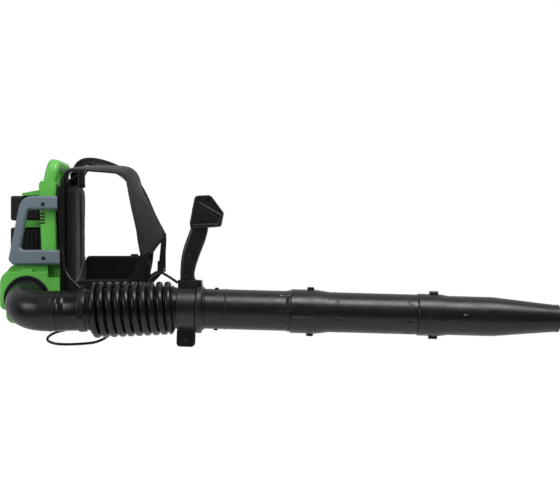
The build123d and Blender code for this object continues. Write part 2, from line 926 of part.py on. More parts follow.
# Nozzle: bayonet hub, parallel part, cone and a short parallel mouth
nozzle_end = nozzle_start + nozzle_length
hub_end = nozzle_start + nozzle_hub_length
with BuildPart() as nozzle:
    with BuildSketch(tube_plane):
        with BuildLine():
            Polyline(
                (nozzle_start, socket_bore),
                (middle_spigot_end + 1, socket_bore),
                (middle_spigot_end + 1, nozzle_radius - tube_wall - 1),
                (nozzle_cone_start, nozzle_radius - tube_wall - 1),
                (nozzle_end - mouth_length, mouth_radius - mouth_wall),
                (nozzle_end, mouth_radius - mouth_wall),
                (nozzle_end, mouth_radius - 0.8),
                (nozzle_end - 0.8, mouth_radius),
                (nozzle_end - mouth_length, mouth_radius),
                (nozzle_cone_start, nozzle_radius),
                (hub_end + 22, nozzle_radius),
                (hub_end, nozzle_hub_radius),
                (nozzle_start + 2, nozzle_hub_radius),
                (nozzle_start, nozzle_hub_radius - 1.5),
                close=True,
            )
        make_face()
    revolve(axis=tube_axis)
    add(
        channels(
            nozzle_start + 3,
            middle_lug,
            nozzle_hub_radius - 2,
            nozzle_hub_radius + 1.8,
            2.4,
            nozzle_swing,
        )
    )
    add(bumps(middle_lug, nozzle_hub_radius - 2, nozzle_hub_radius + 8.0, 22.0))
    add(
        channels(nozzle_start - 1, middle_lug, socket_bore - 2, groove_radius, play, nozzle_swing),
        mode=Mode.SUBTRACT,
    )
    add(dimples(hub_end + 60, nozzle_radius, 28.0), mode=Mode.SUBTRACT)
save(nozzle.part, "nozzle")

# Control handle: two half shells that meet on the middle plane of the tube line
head_points = [
    (35, 207, 0.0),
    (33, 221, 5.0),
    (46.5, 291, 11.0),
    (87, 292.5, 9.0),
    (120.5, 247, 7.0),
    (113.5, 211, 7.0),
    (79, 208.5, 0.0),
]
grip_rear = [(7.8, saddle_top), (9.4, 117.2), (13.8, 145.8), (22.1, 172.8), (36, 210)]
grip_front = [
    (80, 210),
    (67.6, 162.7),
    (55.9, 132.3),
    (46.5, 101.9),
    (44.2, 86),
    (47.6, saddle_top),
]
panel_points = [(51, 265), (111, 232), (107.5, 218), (42, 216), (40, 226)]
pivot_point = (68.0, 193.0)
trigger_points = [(77.2, 199), (75.8, 190), (63.6, 152), (52, 156), (60, 199)]
trigger_room = [
    (95, 202),
    (95, 148.5),
    (38, 148.5),
    (38, 160),
    (32.5, 160),
    (32.5, 186),
    (45, 186),
    (50, 202),
]
switch_room = (38.5, 173.0)
ledge_points = [(57.4, 274.8), (132, 231), (132, 310), (57.4, 310)]
ledge_step = 1.6
button_point = (39.75, 256.0)
button_push = Vector(70, 0, -13.5).normalized()
lever_point = (68.0, 238.0)
screw_points = [(81.4, 279.5), (65.5, 223.0), (32.0, 140.0), (22.9, 84.0)]
screw_depth = 5.0
panel_depth = 1.5


def grip_vector(point, out=0.0):
    """A point of the handle's side view, moved to the wearer's right by a distance."""
    return grip_plane.from_local_coords(Vector(point[0], point[1], out))


def handle_shell(side):
    """One half shell of the control handle; side is -1 for the right half and 1 for the left."""
    with BuildPart() as shell:
        with BuildSketch(grip_plane):
            with BuildLine():
                Spline(*grip_rear)
                Line(grip_rear[-1], grip_front[0])
                Spline(*grip_front)
                Line(grip_front[-1], grip_rear[0])
            make_face()
        extrude(amount=-side * grip_half)
        outer = shell.faces().filter_by(Axis.Y).sort_by(Axis.Y)[0 if side < 0 else -1]
        long_edges = outer.edges().sort_by(Edge.length)[-2:]
        fillet(long_edges, 9.0)
        with BuildSketch(grip_plane):
            add(outline_face(head_points))
        extrude(amount=-side * head_half)
        top = shell.faces().filter_by(Axis.Y).sort_by(Axis.Y)[0 if side < 0 else -1]
        fillet(top.edges(), 4.0)
        with BuildSketch(grip_plane.offset(-side * head_half)):
            with BuildLine():
                Polyline(*panel_points, close=True)
            make_face()
        extrude(amount=side * panel_depth, mode=Mode.SUBTRACT)
        with BuildSketch(grip_plane.offset(-side * head_half)):
            with BuildLine():
                Polyline(*ledge_points, close=True)
            make_face()
        extrude(amount=side * ledge_step, mode=Mode.SUBTRACT)
        with BuildSketch(grip_plane):
            with BuildLine():
                Polyline(*trigger_room, close=True)
            make_face()
        extrude(amount=-side * (trigger_half + play), mode=Mode.SUBTRACT)
        with BuildSketch(grip_plane):
            with Locations(pivot_point):
                Circle(trigger_pivot_radius)
        extrude(amount=-side * (grip_half - 3), mode=Mode.SUBTRACT)
        with BuildSketch(Plane(origin=grip_vector(button_point) - button_push * 3, z_dir=button_push)):
            Circle(button_radius + play)
        extrude(amount=3 + 12, mode=Mode.SUBTRACT)
        if side < 0:
            with BuildSketch(grip_plane):
                with Locations(*screw_points):
                    Circle(2.0)
            extrude(amount=head_half, mode=Mode.SUBTRACT)
            with BuildSketch(grip_plane.offset(grip_half - screw_depth)):
                with Locations(*screw_points):
                    Circle(4.0)
            extrude(amount=head_half, mode=Mode.SUBTRACT)
        else:
            with BuildSketch(grip_plane):
                with Locations(*screw_points):
                    Circle(2.0)
            extrude(amount=-10, mode=Mode.SUBTRACT)
            with BuildSketch(grip_plane.offset(-head_half + panel_depth)):
                with Locations(lever_point):
                    Circle(3.0 + shaft_play)
            extrude(amount=8, mode=Mode.SUBTRACT)
    return shell.part


save(handle_shell(-1), "handle_shell_right")
save(handle_shell(1), "handle_shell_left")

with BuildPart() as handle_screws:
    with BuildSketch(grip_plane.offset(-10)):
        with Locations(*screw_points):
            Circle(2.0)
    extrude(amount=10 + grip_half - screw_depth)
    with BuildSketch(grip_plane.offset(grip_half - screw_depth)):
        with Locations(*screw_points):
            Circle(3.7)
    extrude(amount=3)
save(handle_screws.part, "handle_screws")

with BuildPart() as trigger_pin:
    with BuildSketch(grip_plane):
        with Locations(pivot_point):
            Circle(trigger_pivot_radius)
    extrude(amount=grip_half - 3, both=True)
save(trigger_pin.part, "trigger_pin")

with BuildPart() as trigger:
    with BuildSketch(grip_plane) as trigger_face:
        with BuildLine():
            Polyline(*trigger_points, close=True)
        make_face()
        fillet(trigger_face.vertices(), 1.5)
    extrude(amount=trigger_half, both=True)
    with BuildSketch(grip_plane):
        with Locations(pivot_point):
            Circle(trigger_pivot_radius + shaft_play)
    extrude(amount=trigger_half, both=True, mode=Mode.SUBTRACT)
save(trigger.part, "trigger")

with BuildPart() as speed_switch:
    with BuildSketch(grip_plane):
        with Locations(switch_room):
            Rectangle(12, 26)
    extrude(amount=trigger_half, both=True)
    fillet(speed_switch.edges().filter_by(Axis.Y), 1.0)
save(speed_switch.part, "speed_switch")

with BuildPart() as boost_button:
    with BuildSketch(Plane(origin=grip_vector(button_point) - button_push * 1.5, z_dir=button_push)):
        Circle(button_radius)
    extrude(amount=9.5)
    chamfer(boost_button.edges().filter_by(GeomType.CIRCLE).sort_by(Axis.X)[0], 1.0)
save(boost_button.part, "boost_button")

with BuildPart() as cruise_lever:
    with BuildSketch(grip_plane.offset(-head_half + panel_depth - play)):
        with Locations(lever_point):
            Circle(lever_radius)
    extrude(amount=-panel_depth - 5)
    with BuildSketch(grip_plane.offset(-head_half - 1.0)):
        with Locations((lever_point[0] - 12, lever_point[1] + 6)):
            SlotOverall(36, 10, rotation=-27)
    extrude(amount=-4)
    with BuildSketch(grip_plane.offset(-head_half + panel_depth - play)):
        with Locations(lever_point):
            Circle(3.0)
    extrude(amount=7)
save(cruise_lever.part, "cruise_lever")

# Battery dock: floor, shelf, roof and back wall as one E shape open to the rear
lower_bay = dock_floor + pack_height + 2 * play
upper_floor = lower_bay + dock_shelf
upper_bay = upper_floor + pack_height + 2 * play
with BuildPart() as battery_dock:
    with BuildSketch(Plane.XZ):
        with BuildLine():
            Polyline(
                (-38, housing_top),
                (dock_back + dock_wall, housing_top),
                (dock_back + dock_wall, upper_bay + 17),
                (33, upper_bay + 17),
                (-26, upper_bay + 6),
                (-26, upper_bay),
                (dock_back, upper_bay),
                (dock_back, upper_floor),
                (-38, upper_floor),
                (-41, upper_floor - 4),
                (-41, lower_bay + 4),
                (-38, lower_bay),
                (dock_back, lower_bay),
                (dock_back, dock_floor),
                (-38, dock_floor),
                close=True,
            )
        make_face()
    extrude(amount=dock_half, both=True)
save(battery_dock.part, "battery_dock")

pack_floors = {"lower": dock_floor + play, "upper": upper_floor + play}
for level, floor in pack_floors.items():
    pack_middle = floor + pack_height / 2
    with BuildPart() as terminal_block:
        with BuildSketch(Plane.YZ.offset(dock_back - terminal_depth)):
            with Locations((0, pack_middle)):
                Rectangle(70, 40)
        extrude(amount=terminal_depth)
        with BuildSketch(Plane.YZ.offset(dock_back - terminal_depth)):
            with Locations((-24, pack_middle), (-8, pack_middle), (8, pack_middle), (24, pack_middle)):
                Rectangle(1.2, 12)
        extrude(amount=-blade_reach)
    save(terminal_block.part, "terminal_block_" + level)

    with BuildPart() as battery:
        with BuildSketch(Plane.YZ.offset(pack_rear)):
            with Locations((0, pack_middle)):
                RectangleRounded(2 * pack_half, pack_height, 7)
        extrude(amount=pack_length)
        fillet(battery.faces().sort_by(Axis.X)[0].edges(), 6.0)
        with BuildSketch(Plane.XZ.offset(pack_half)):
            with Locations((pack_rear + 13, pack_middle)):
                SlotOverall(pack_height - 24, 9, rotation=90)
            for rib in range(4):
                with Locations((pack_rear + 42 + 12 * rib, pack_middle)):
                    SlotOverall(pack_height - 22, 4, rotation=90)
        extrude(amount=-2.0, mode=Mode.SUBTRACT)
        with BuildSketch(Plane.XZ.offset(-pack_half)):
            with Locations((pack_rear + 13, pack_middle)):
                SlotOverall(pack_height - 24, 9, rotation=90)
            for rib in range(4):
                with Locations((pack_rear + 42 + 12 * rib, pack_middle)):
                    SlotOverall(pack_height - 22, 4, rotation=90)
        extrude(amount=2.0, mode=Mode.SUBTRACT)
        with BuildSketch(Plane.YZ.offset(pack_rear + pack_length)):
            with Locations((-24, pack_middle), (-8, pack_middle), (8, pack_middle), (24, pack_middle)):
                Rectangle(3.0, 16)
        extrude(amount=-blade_reach - 3, mode=Mode.SUBTRACT)
        with BuildSketch(Plane.XY.offset(floor + pack_height)):
            with Locations((pack_rear + 12, 0)):
                Rectangle(12 + 2 * play, 30 + 2 * play)
        extrude(amount=-14, mode=Mode.SUBTRACT)
    save(battery.part, "battery_" + level)

    with BuildPart() as latch:
        with BuildSketch(Plane.XY.offset(floor + pack_height - 9)):
            with Locations((pack_rear + 12, 0)):
                Rectangle(12, 30)
        extrude(amount=9)
        fillet(latch.faces().sort_by(Axis.Z)[-1].edges(), 1.5)
    save(latch.part, "latch_" + level)

# Controller: a finned box between the back wall of the dock and the back frame
with BuildPart() as controller:
    with BuildSketch(Plane.YZ.offset(dock_back + dock_wall)):
        with Locations((0, (dock_floor + upper_bay) / 2)):
            RectangleRounded(90, 120, 6)
    extrude(amount=frame_rear - dock_back - dock_wall - 8)
    with BuildSketch(Plane.YZ.offset(frame_rear - 8)):
        for fin in range(7):
            with Locations((-36 + 12 * fin, (dock_floor + upper_bay) / 2)):
                Rectangle(3, 110)
    extrude(amount=8)
save(controller.part, "controller")

# Columns between the fan housing and the carry handle, with vent slots in the outer face
for side_name, side in (("right", -1), ("left", 1)):
    with BuildPart() as column:
        with BuildSketch(Plane.XZ.offset(-side * dock_half)) as column_face:
            with BuildLine():
                Polyline(
                    (column_rear + column_lean, housing_top),
                    (column_front + 3, housing_top),
                    (column_front, guard_top),
                    (column_rear, guard_top),
                    close=True,
                )
            make_face()
        extrude(amount=-side * (column_outer - dock_half))
        outer_face = column.faces().filter_by(Axis.Y).sort_by(Axis.Y)[0 if side < 0 else -1]
        chamfer(outer_face.edges().filter_by(Axis.X, reverse=True), 3.0)
        with BuildSketch(Plane.XZ.offset(-side * column_outer)):
            for slot in range(4):
                with Locations((column_rear + 5, guard_top - guard_bar - 11 - 8.4 * slot)):
                    SlotOverall(22, 4.2)
        extrude(amount=side * 6, mode=Mode.SUBTRACT)
    save(column.part, "column_" + side_name)

# Side guards: C shapes that wrap round the packs and end on the back frame and its flanges
guard_end = frame_rear - flange_depth - play
guard_points = [
    (guard_end, guard_top, 0.0),
    (-16, guard_top, 36.0),
    (-50, guard_bottom + 14, 10.0),
    (-38, guard_bottom, 8.0),
    (frame_rear, guard_bottom, 0.0),
    (frame_rear, guard_bottom + guard_lower_bar, 0.0),
    (-20, guard_bottom + guard_lower_bar, 9.0),
    (1.5, guard_top - guard_bar, 11.0),
    (guard_end, guard_top - guard_bar, 0.0),
]
guard_screw_points = [(43.0, guard_top - 23), (45.0, guard_bottom + 17)]
guard_head_depth = 6.0
for side_name, side in (("right", -1), ("left", 1)):
    with BuildPart() as guard:
        with BuildSketch(Plane.XZ.offset(-side * column_outer)):
            add(outline_face(guard_points))
        extrude(amount=-side * guard_thickness)
        outer_face = guard.faces().filter_by(Axis.Y).sort_by(Axis.Y)[0 if side < 0 else -1]
        round_edges = [
            edge for edge in outer_face.edges() if edge.center().X < guard_end - 1
        ]
        chamfer(round_edges, 5.0)
        with BuildSketch(Plane.XZ.offset(-side * column_outer)):
            with Locations(*guard_screw_points):
                Circle(2.5)
        extrude(amount=-side * guard_thickness, mode=Mode.SUBTRACT)
        with BuildSketch(Plane.XZ.offset(-side * housing_half)):
            with Locations(*guard_screw_points):
                Circle(5.5)
        extrude(amount=side * guard_head_depth, mode=Mode.SUBTRACT)
    save(guard.part, "guard_" + side_name)

with BuildPart() as guard_screws:
    for side in (-1, 1):
        with BuildSketch(Plane.XZ.offset(-side * column_outer)):
            with Locations(*guard_screw_points):
                Circle(2.5)
        extrude(amount=-side * (guard_thickness - guard_head_depth))
        with BuildSketch(Plane.XZ.offset(-side * (housing_half - guard_head_depth))):
            with Locations(*guard_screw_points):
                Circle(5.0)
        extrude(amount=-side * 3.5)
save(guard_screws.part, "guard_screws")

# Carry handle: two shoulders on the columns and a rounded hoop that leans forward over the body
hoop_inner = hoop_half - hoop_bar
shoulder_top = guard_top + 41.0
lean = radians(hoop_lean)
hoop_foot = shoulder_top - 20.0
hoop_height = (hoop_top - hoop_foot) / cos(lean)
hoop_plane = Plane(
    origin=(hoop_rear, 0, hoop_foot), x_dir=(0, 1, 0), z_dir=(cos(lean), 0, -sin(lean))
)
with BuildPart() as carry_handle:
    with BuildSketch(hoop_plane) as hoop_face:
        with Locations((0, hoop_height / 2)):
            Rectangle(2 * hoop_half, hoop_height)
        fillet(hoop_face.vertices().group_by(Axis.Y)[-1], 38.0)
    extrude(amount=hoop_depth)
    with BuildSketch(hoop_plane) as hoop_hole:
        with Locations((0, (hoop_height - hoop_bar) / 2 - 10)):
            Rectangle(2 * hoop_inner, hoop_height - hoop_bar + 20)
        fillet(hoop_hole.vertices().group_by(Axis.Y)[-1], 24.0)
    extrude(amount=hoop_depth, mode=Mode.SUBTRACT)
    hoop_ends = carry_handle.faces().filter_by(Axis(hoop_plane.origin, hoop_plane.z_dir))
    hoop_edges = [
        edge for edge in hoop_ends.edges() if hoop_plane.to_local_coords(edge.center()).Y > 1
    ]
    fillet(hoop_edges, hoop_rounding)
    for side in (-1, 1):
        with BuildSketch(Plane.XZ.offset(-side * dock_half)) as shoulder:
            with BuildLine():
                Polyline(
                    (column_rear, guard_top),
                    (column_front, guard_top),
                    (column_front, shoulder_top - 8),
                    (column_front - 4, shoulder_top),
                    (column_rear + 4, shoulder_top),
                    (column_rear, shoulder_top - 8),
                    close=True,
                )
            make_face()
        extrude(amount=-side * (column_outer + 2 - dock_half))
save(carry_handle.part, "carry_handle")

# Back frame: a plate with a spine and two pairs of windows behind the pad, and a flange on each
# side where the top bar of a guard ends
window_width = frame_half - frame_rail - frame_spine / 2
window_middle = (window_width + frame_spine) / 2
with BuildPart() as back_frame:
    with BuildSketch(Plane.YZ.offset(frame_rear)):
        with Locations((0, frame_top / 2)):
            RectangleRounded(2 * frame_half, frame_top, 26)
        for low, high in frame_windows:
            with Locations((-window_middle, (low + high) / 2), (window_middle, (low + high) / 2)):
                RectangleRounded(window_width, high - low, 14, mode=Mode.SUBTRACT)
    extrude(amount=frame_thickness)
    for side in (-1, 1):
        with BuildSketch(Plane.XZ.offset(-side * frame_half)):
            with BuildLine():
                Polyline(
                    (frame_rear + 1, guard_bottom + guard_lower_bar),
                    (frame_rear, guard_bottom + guard_lower_bar),
                    (frame_rear - flange_depth, guard_top - guard_bar),
                    (frame_rear - flange_depth, frame_top - 26),
                    (frame_rear + 1, frame_top - 26),
                    close=True,
                )
            make_face()
        extrude(amount=side * flange_width)
save(back_frame.part, "back_frame")

# Back pad: a cushion with a crown, drawn-in sides and a channel down the middle
frame_front = frame_rear + frame_thickness
pad_middle = (pad_bottom + pad_top) / 2
pad_height = pad_top - pad_bottom
pad_sections = [
    (0.0, 8.0, 22.0),
    (0.15, 2.0, 26.0),
    (0.35, 0.0, 28.0),
    (0.65, 2.0, 28.0),
    (0.85, 12.0, 30.0),
    (1.0, 36.0, 32.0),
]
with BuildPart() as back_pad:
    for share, draw, corner in pad_sections:
        with BuildSketch(Plane.YZ.offset(frame_front + share * pad_thickness)):
            with Locations((0, pad_middle)):
                RectangleRounded(2 * pad_half - draw, pad_height - draw, corner)
    loft(ruled=True)
    with BuildSketch(Plane.YZ.offset(frame_front + pad_thickness)):
        with Locations((0, pad_middle)):
            SlotOverall(pad_height - 50, 24, rotation=90)
    extrude(amount=-7, mode=Mode.SUBTRACT)
save(back_pad.part, "back_pad")

# Shoulder straps: each row is its share of the reach, out from the middle, rise over the frame,
# twist in degrees and width
frame_middle = frame_rear + frame_thickness / 2
strap_rows = {
    "right": [
        (0.0, 72, 0, 0, 50),
        (0.044, 74, 17, 2, 53),
        (0.172, 76, 23, 8, 60),
        (0.384, 78, 24, 16, 64),
        (0.66, 79, 21, 20, 66),
        (0.83, 80, 2, 26, 66),
        (0.88, 81, -36, 29, 66),
        (0.959, 83, -82, 46, 67),
        (1.046, 85, -134, 62, 73),
        (1.09, 88, -166.5, 79, 78),
        (1.124, 89, -202, 80, 36),
    ],
    "left": [
        (0.0, 72, 0, 0, 50),
        (0.021, 73, 28, 4, 55),
        (0.094, 75, 49, 9, 59),
        (0.218, 77, 54, 14, 62),
        (0.411, 78, 46, 16, 64),
        (0.623, 79, 24, 20, 66),
        (0.779, 80, -6, 26, 66),
        (0.871, 82, -42, 32, 66),
        (0.936, 84, -87, 44, 66),
        (0.995, 86, -135, 60, 68),
        (1.037, 88, -168, 78, 70),
        (1.055, 89, -202, 80, 36),
    ],
}


def between_rows(rows):
    """The rows with one more row halfway between each pair, on a smooth line through them all."""
    full = [rows[0]]
    for index in range(len(rows) - 1):
        before = rows[max(index - 1, 0)]
        after = rows[min(index + 2, len(rows) - 1)]
        near = rows[index]
        far = rows[index + 1]
        full.append(tuple((9 * (n + f) - b - a) / 16 for b, n, f, a in zip(before, near, far, after)))
        full.append(far)
    return full


def strap_planes(rows, side):
    """The section planes of a strap, square to its line and turned by each row's twist."""
    points = [Vector(row[0], side * row[1], row[2]) for row in rows]
    planes = []
    for index, row in enumerate(rows):
        before = points[max(index - 1, 0)]
        after = points[min(index + 1, len(rows) - 1)]
        along = (after - before).normalized()
        if index == 0:
            along = Vector(0, 0, 1)
        outward = Vector(-along.Z, 0, along.X).normalized()
        twist = radians(row[3])
        across = Vector(0, side * cos(twist), 0) - outward * sin(twist)
        across = (across - along * across.dot(along)).normalized()
        planes.append(Plane(origin=points[index], x_dir=across, z_dir=along))
    return planes


belt_inner = pad_half - 16.0
belt_outer = belt_inner + belt_thickness
belt_bend = (belt_straight + belt_reach) / 2
for side_name, side in (("right", -1), ("left", 1)):
    reach = belt_reach - frame_middle
    rows = between_rows(
        [
            (frame_middle + row[0] * reach, row[1], frame_top + row[2], *row[3:])
            for row in strap_rows[side_name]
        ]
    )
    planes = strap_planes(rows, side)
    with BuildPart() as shoulder_strap:
        for plane, row in zip(planes, rows):
            half = row[4] / 2
            edge = strap_thickness / 4
            with BuildSketch(plane):
                with BuildLine():
                    Line((-half, -edge), (-half, edge))
                    ThreePointArc((-half, edge), (0, 2 * edge), (half, edge))
                    Line((half, edge), (half, -edge))
                    ThreePointArc((half, -edge), (0, -2 * edge), (-half, -edge))
                make_face()
        loft(ruled=True)
    save(shoulder_strap.part, "shoulder_strap_" + side_name)

    # Webbing from the rear corner of the strap end down to the foot of the back frame
    wide = rows[-3][4] / 2
    narrow = rows[-1][4] / 2
    rear_wide = planes[-3].from_local_coords(Vector(wide, 0, 0))
    rear_narrow = planes[-1].from_local_coords(Vector(narrow, 0, 0))
    rear_slope = Vector(rear_narrow.X - rear_wide.X, 0, rear_narrow.Z - rear_wide.Z).normalized()
    rear_out = Vector(rear_slope.Z, 0, -rear_slope.X)
    rear_reach = max(
        (plane.from_local_coords(Vector(row[4] / 2, 0, 0)) - rear_wide).dot(rear_out)
        for plane, row in zip(planes[-3:], rows[-3:])
    )
    web_top = (rear_wide + rear_narrow) * 0.5 - rear_slope * 4.0
    with BuildPart() as strap_web:
        with BuildSketch(Plane.XZ.offset(-side * (belt_outer + play))):
            with BuildLine():
                FilletPolyline(
                    (web_top.X + 4, web_top.Z + 18),
                    (belt_reach - 25, 112),
                    (belt_reach - 105, 56),
                    (frame_front - 20, 31),
                    radius=30,
                )
            trace(line_width=web_width)
        extrude(amount=-side * web_thickness)
        split(bisect_by=Plane.YZ.offset(frame_front), keep=Keep.TOP)
        split(
            bisect_by=Plane(
                origin=rear_wide + rear_out * (rear_reach + 2 * play),
                x_dir=(0, 1, 0),
                z_dir=rear_out,
            ),
            keep=Keep.TOP,
        )
    save(strap_web.part, "strap_web_" + side_name)

    # Ladder lock that hangs from the front corner of the strap end
    front_wide = planes[-3].from_local_coords(Vector(-wide, 0, 0))
    front_narrow = planes[-1].from_local_coords(Vector(-narrow, 0, 0))
    front_slope = Vector(front_narrow.X - front_wide.X, 0, front_narrow.Z - front_wide.Z).normalized()
    front_out = Vector(-front_slope.Z, 0, front_slope.X)
    front_reach = max(
        (plane.from_local_coords(Vector(-row[4] / 2, 0, 0)) - front_wide).dot(front_out)
        for plane, row in zip(planes[-3:], rows[-3:])
    )
    lock = (front_wide + front_narrow) * 0.5
    with BuildPart() as ladder_lock:
        with BuildSketch(Plane.XZ.offset(-lock.Y - 2)):
            with Locations((lock.X, lock.Z - 22)):
                Rectangle(12, 60)
        extrude(amount=4)
        split(
            bisect_by=Plane(
                origin=front_wide + front_out * (front_reach + 3 * play),
                x_dir=(0, 1, 0),
                z_dir=front_out,
            ),
            keep=Keep.TOP,
        )
        with BuildSketch(Plane.XZ.offset(-lock.Y - 2)):
            with Locations((lock.X - 5, lock.Z - 62)):
                RectangleRounded(22, 30, 4)
            with Locations((lock.X - 5, lock.Z - 56), (lock.X - 5, lock.Z - 69)):
                Rectangle(15, 4, mode=Mode.SUBTRACT)
        extrude(amount=4)
    save(ladder_lock.part, "ladder_lock_" + side_name)

    # Load strap from the underside of the shoulder strap down to the top of the pad
    hold = planes[4] if side < 0 else planes[6]
    hold_point = hold.origin - hold.y_dir * side * (strap_thickness / 2 + 3.0)
    with BuildPart() as load_strap:
        with BuildSketch(Plane.XZ.offset(-side * 66)):
            with BuildLine():
                Line((hold_point.X, hold_point.Z), (frame_front + 9, pad_top + 0.7))
            trace(line_width=web_thickness)
        extrude(amount=-side * load_width)
    save(load_strap.part, "load_strap_" + side_name)

    # Hip belt wing: starts at the front edge of the pad and curves forward; the right one hangs lower
    root_outer = frame_front + 0.85 * pad_thickness + play
    root_inner = frame_front + pad_thickness + play
    tip_outer = belt_outer - belt_tuck
    tip_inner = belt_inner - belt_tuck
    wing_low = belt_low - belt_sag if side < 0 else belt_low
    wing_high = wing_low + belt_high - belt_low
    buckle_height = wing_low + buckle_low if side < 0 else wing_high - buckle_drop
    with BuildPart() as hip_belt:
        with BuildSketch(Plane.XY.offset(wing_low)):
            with BuildLine():
                Polyline(
                    (belt_straight, side * belt_inner),
                    (root_inner, side * belt_inner),
                    (root_outer, side * belt_outer),
                    (belt_straight, side * belt_outer),
                )
                Spline(
                    (belt_straight, side * belt_outer),
                    (belt_bend, side * (belt_outer - 2)),
                    (belt_reach, side * tip_outer),
                    tangents=[(1, 0), (0.97, -0.24 * side)],
                )
                Line((belt_reach, side * tip_outer), (belt_reach - 2, side * tip_inner))
                Spline(
                    (belt_reach - 2, side * tip_inner),
                    (belt_bend, side * (belt_inner - 2)),
                    (belt_straight, side * belt_inner),
                    tangents=[(-0.97, 0.24 * side), (-1, 0)],
                )
            make_face()
        extrude(amount=wing_high - wing_low)
        front_edges = hip_belt.edges().filter_by(lambda edge: edge.center().X > belt_reach - 4)
        fillet(front_edges.filter_by(Axis.Z, reverse=True), 26.0)
    save(hip_belt.part, "hip_belt_" + side_name)

    with BuildPart() as belt_buckle:
        with BuildSketch(Plane.XZ.offset(-side * (belt_outer - 2.4))):
            with Locations((belt_reach - 48, buckle_height)):
                RectangleRounded(22, 20, 4)
        extrude(amount=-side * 6)
    save(belt_buckle.part, "belt_buckle_" + side_name)

# Control cable: from a gland on the back frame, behind the cuff, in a hanging loop below it,
# up behind the hose and over to the saddle of the handle
gland_radius = 6.0
gland_x = frame_rear + gland_radius + 0.5
gland_y = -(frame_half + gland_radius)
cable_end = grip_vector((3, 66))
cable_points = [
    (gland_x, gland_y, 198),
    (gland_x, gland_y, 136),
    (155, -148, 90),
    (158, -136, 30),
    (120, -128, -14),
    (72, -128, -24),
    (58, -172, -40),
    (92, -206, -50),
    (152, -196, -50),
    (205, -166, -46),
    (248, -130, -8),
    (286, -119, 54),
    (322, -126, 118),
    (352, -160, 142),
    (380, -192, 130),
    (cable_end.X - 3, cable_end.Y, cable_end.Z),
]


def bend_radii(points):
    """A bend radius for each inner point of a route, as wide as its shorter run allows."""
    radii = []
    for before, point, after in zip(points, points[1:], points[2:]):
        first = Vector(*point) - Vector(*before)
        second = Vector(*after) - Vector(*point)
        turn = radians(first.get_angle(second))
        radii.append(0.45 * min(first.length, second.length) / tan(turn / 2))
    return radii


cable_radii = bend_radii(cable_points)
print("cable bend radii", [round(radius) for radius in cable_radii])
with BuildPart() as control_cable:
    with BuildLine() as route:
        FilletPolyline(*cable_points, radius=cable_radii)
    with BuildSketch(Plane(origin=route.line @ 0, z_dir=route.line % 0)):
        Circle(cable_radius)
    sweep(path=route.line)
cable_length = sum(edge.length for edge in route.line.edges())
cable_section = pi * cable_radius**2
print("cable length", round(cable_length))
print("cable volume over section", round(control_cable.part.volume / cable_section))
save(control_cable.part, "control_cable")

with BuildPart() as cable_gland:
    with BuildSketch(Plane.XY.offset(180)):
        with Locations((gland_x, gland_y)):
            Circle(gland_radius)
            Circle(cable_radius + play, mode=Mode.SUBTRACT)
    extrude(amount=24)
save(cable_gland.part, "cable_gland")
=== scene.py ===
"""Looks of the battery backpack leaf blower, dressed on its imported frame.

Metres, in the frame's own axes: +X is ahead of the wearer, +Y to the left, +Z up.
"""

import json
import math

import bmesh
import bpy
from mathutils import Matrix, Vector

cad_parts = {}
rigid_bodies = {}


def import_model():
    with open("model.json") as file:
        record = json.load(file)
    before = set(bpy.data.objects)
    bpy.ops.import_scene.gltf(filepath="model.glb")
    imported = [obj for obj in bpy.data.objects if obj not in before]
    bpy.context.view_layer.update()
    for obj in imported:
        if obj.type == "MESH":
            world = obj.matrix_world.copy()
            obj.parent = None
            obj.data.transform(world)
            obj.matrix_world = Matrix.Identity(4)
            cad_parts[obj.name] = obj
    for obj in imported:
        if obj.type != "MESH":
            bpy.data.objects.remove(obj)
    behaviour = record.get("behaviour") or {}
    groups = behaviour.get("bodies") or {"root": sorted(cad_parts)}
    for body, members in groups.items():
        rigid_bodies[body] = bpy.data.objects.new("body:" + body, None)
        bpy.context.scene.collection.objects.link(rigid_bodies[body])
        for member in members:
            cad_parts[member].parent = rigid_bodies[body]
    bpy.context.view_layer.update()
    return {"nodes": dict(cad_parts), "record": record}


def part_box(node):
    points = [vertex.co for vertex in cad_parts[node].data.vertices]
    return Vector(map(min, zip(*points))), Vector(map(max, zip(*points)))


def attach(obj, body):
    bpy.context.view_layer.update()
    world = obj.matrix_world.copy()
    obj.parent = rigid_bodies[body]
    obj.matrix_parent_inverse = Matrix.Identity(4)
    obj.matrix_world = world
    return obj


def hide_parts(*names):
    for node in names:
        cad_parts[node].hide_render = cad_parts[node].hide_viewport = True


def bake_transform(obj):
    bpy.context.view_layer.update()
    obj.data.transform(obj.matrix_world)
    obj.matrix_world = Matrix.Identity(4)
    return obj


for leftover in list(bpy.data.objects):
    bpy.data.objects.remove(leftover)
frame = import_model()
nodes = frame["nodes"]

MM = 0.001
SIDES = (("right", -1), ("left", 1))
LEFTWARD = Vector((0, 1, 0))
WELD = 0.001 * MM
SOFT_CREASE = 60
RUBBER_CREASE = 50
ROUTE_ORDER = 3
ROUTE_STEPS = 12
CORD_ROUNDNESS = 4


# Finishes

MIDDLE_RANGE = (0.3, 0.7)
WAVE_FACTOR = 20
EDGE_SHADE = 1.4 * MM
PATCH_SCALE = 14.0
WEAR_SCALE = 45.0
WEAR_RANGE = (-0.06, 0.08)
CLOTH_ROUGHNESS = 0.85
CLOTH_GLOSS = 0.18
CLOTH_SHADES = 0.3
CLOTH_RELIEF = 0.6
SHEEN_ROUGHNESS = 0.5
WEFT_RATIO = 1.3
FADE_SCALE = 22.0
DIP_SCALE = 48.0
LINE_SCALE = 260.0
LINE_RANGE = (-0.08, 0.12)
LINE_SHADES = 0.12
LINE_DEPTH = 0.03 * MM
GREEN = (0.100, 0.410, 0.060)
SLATE = (0.112, 0.149, 0.172)
finishes = {}


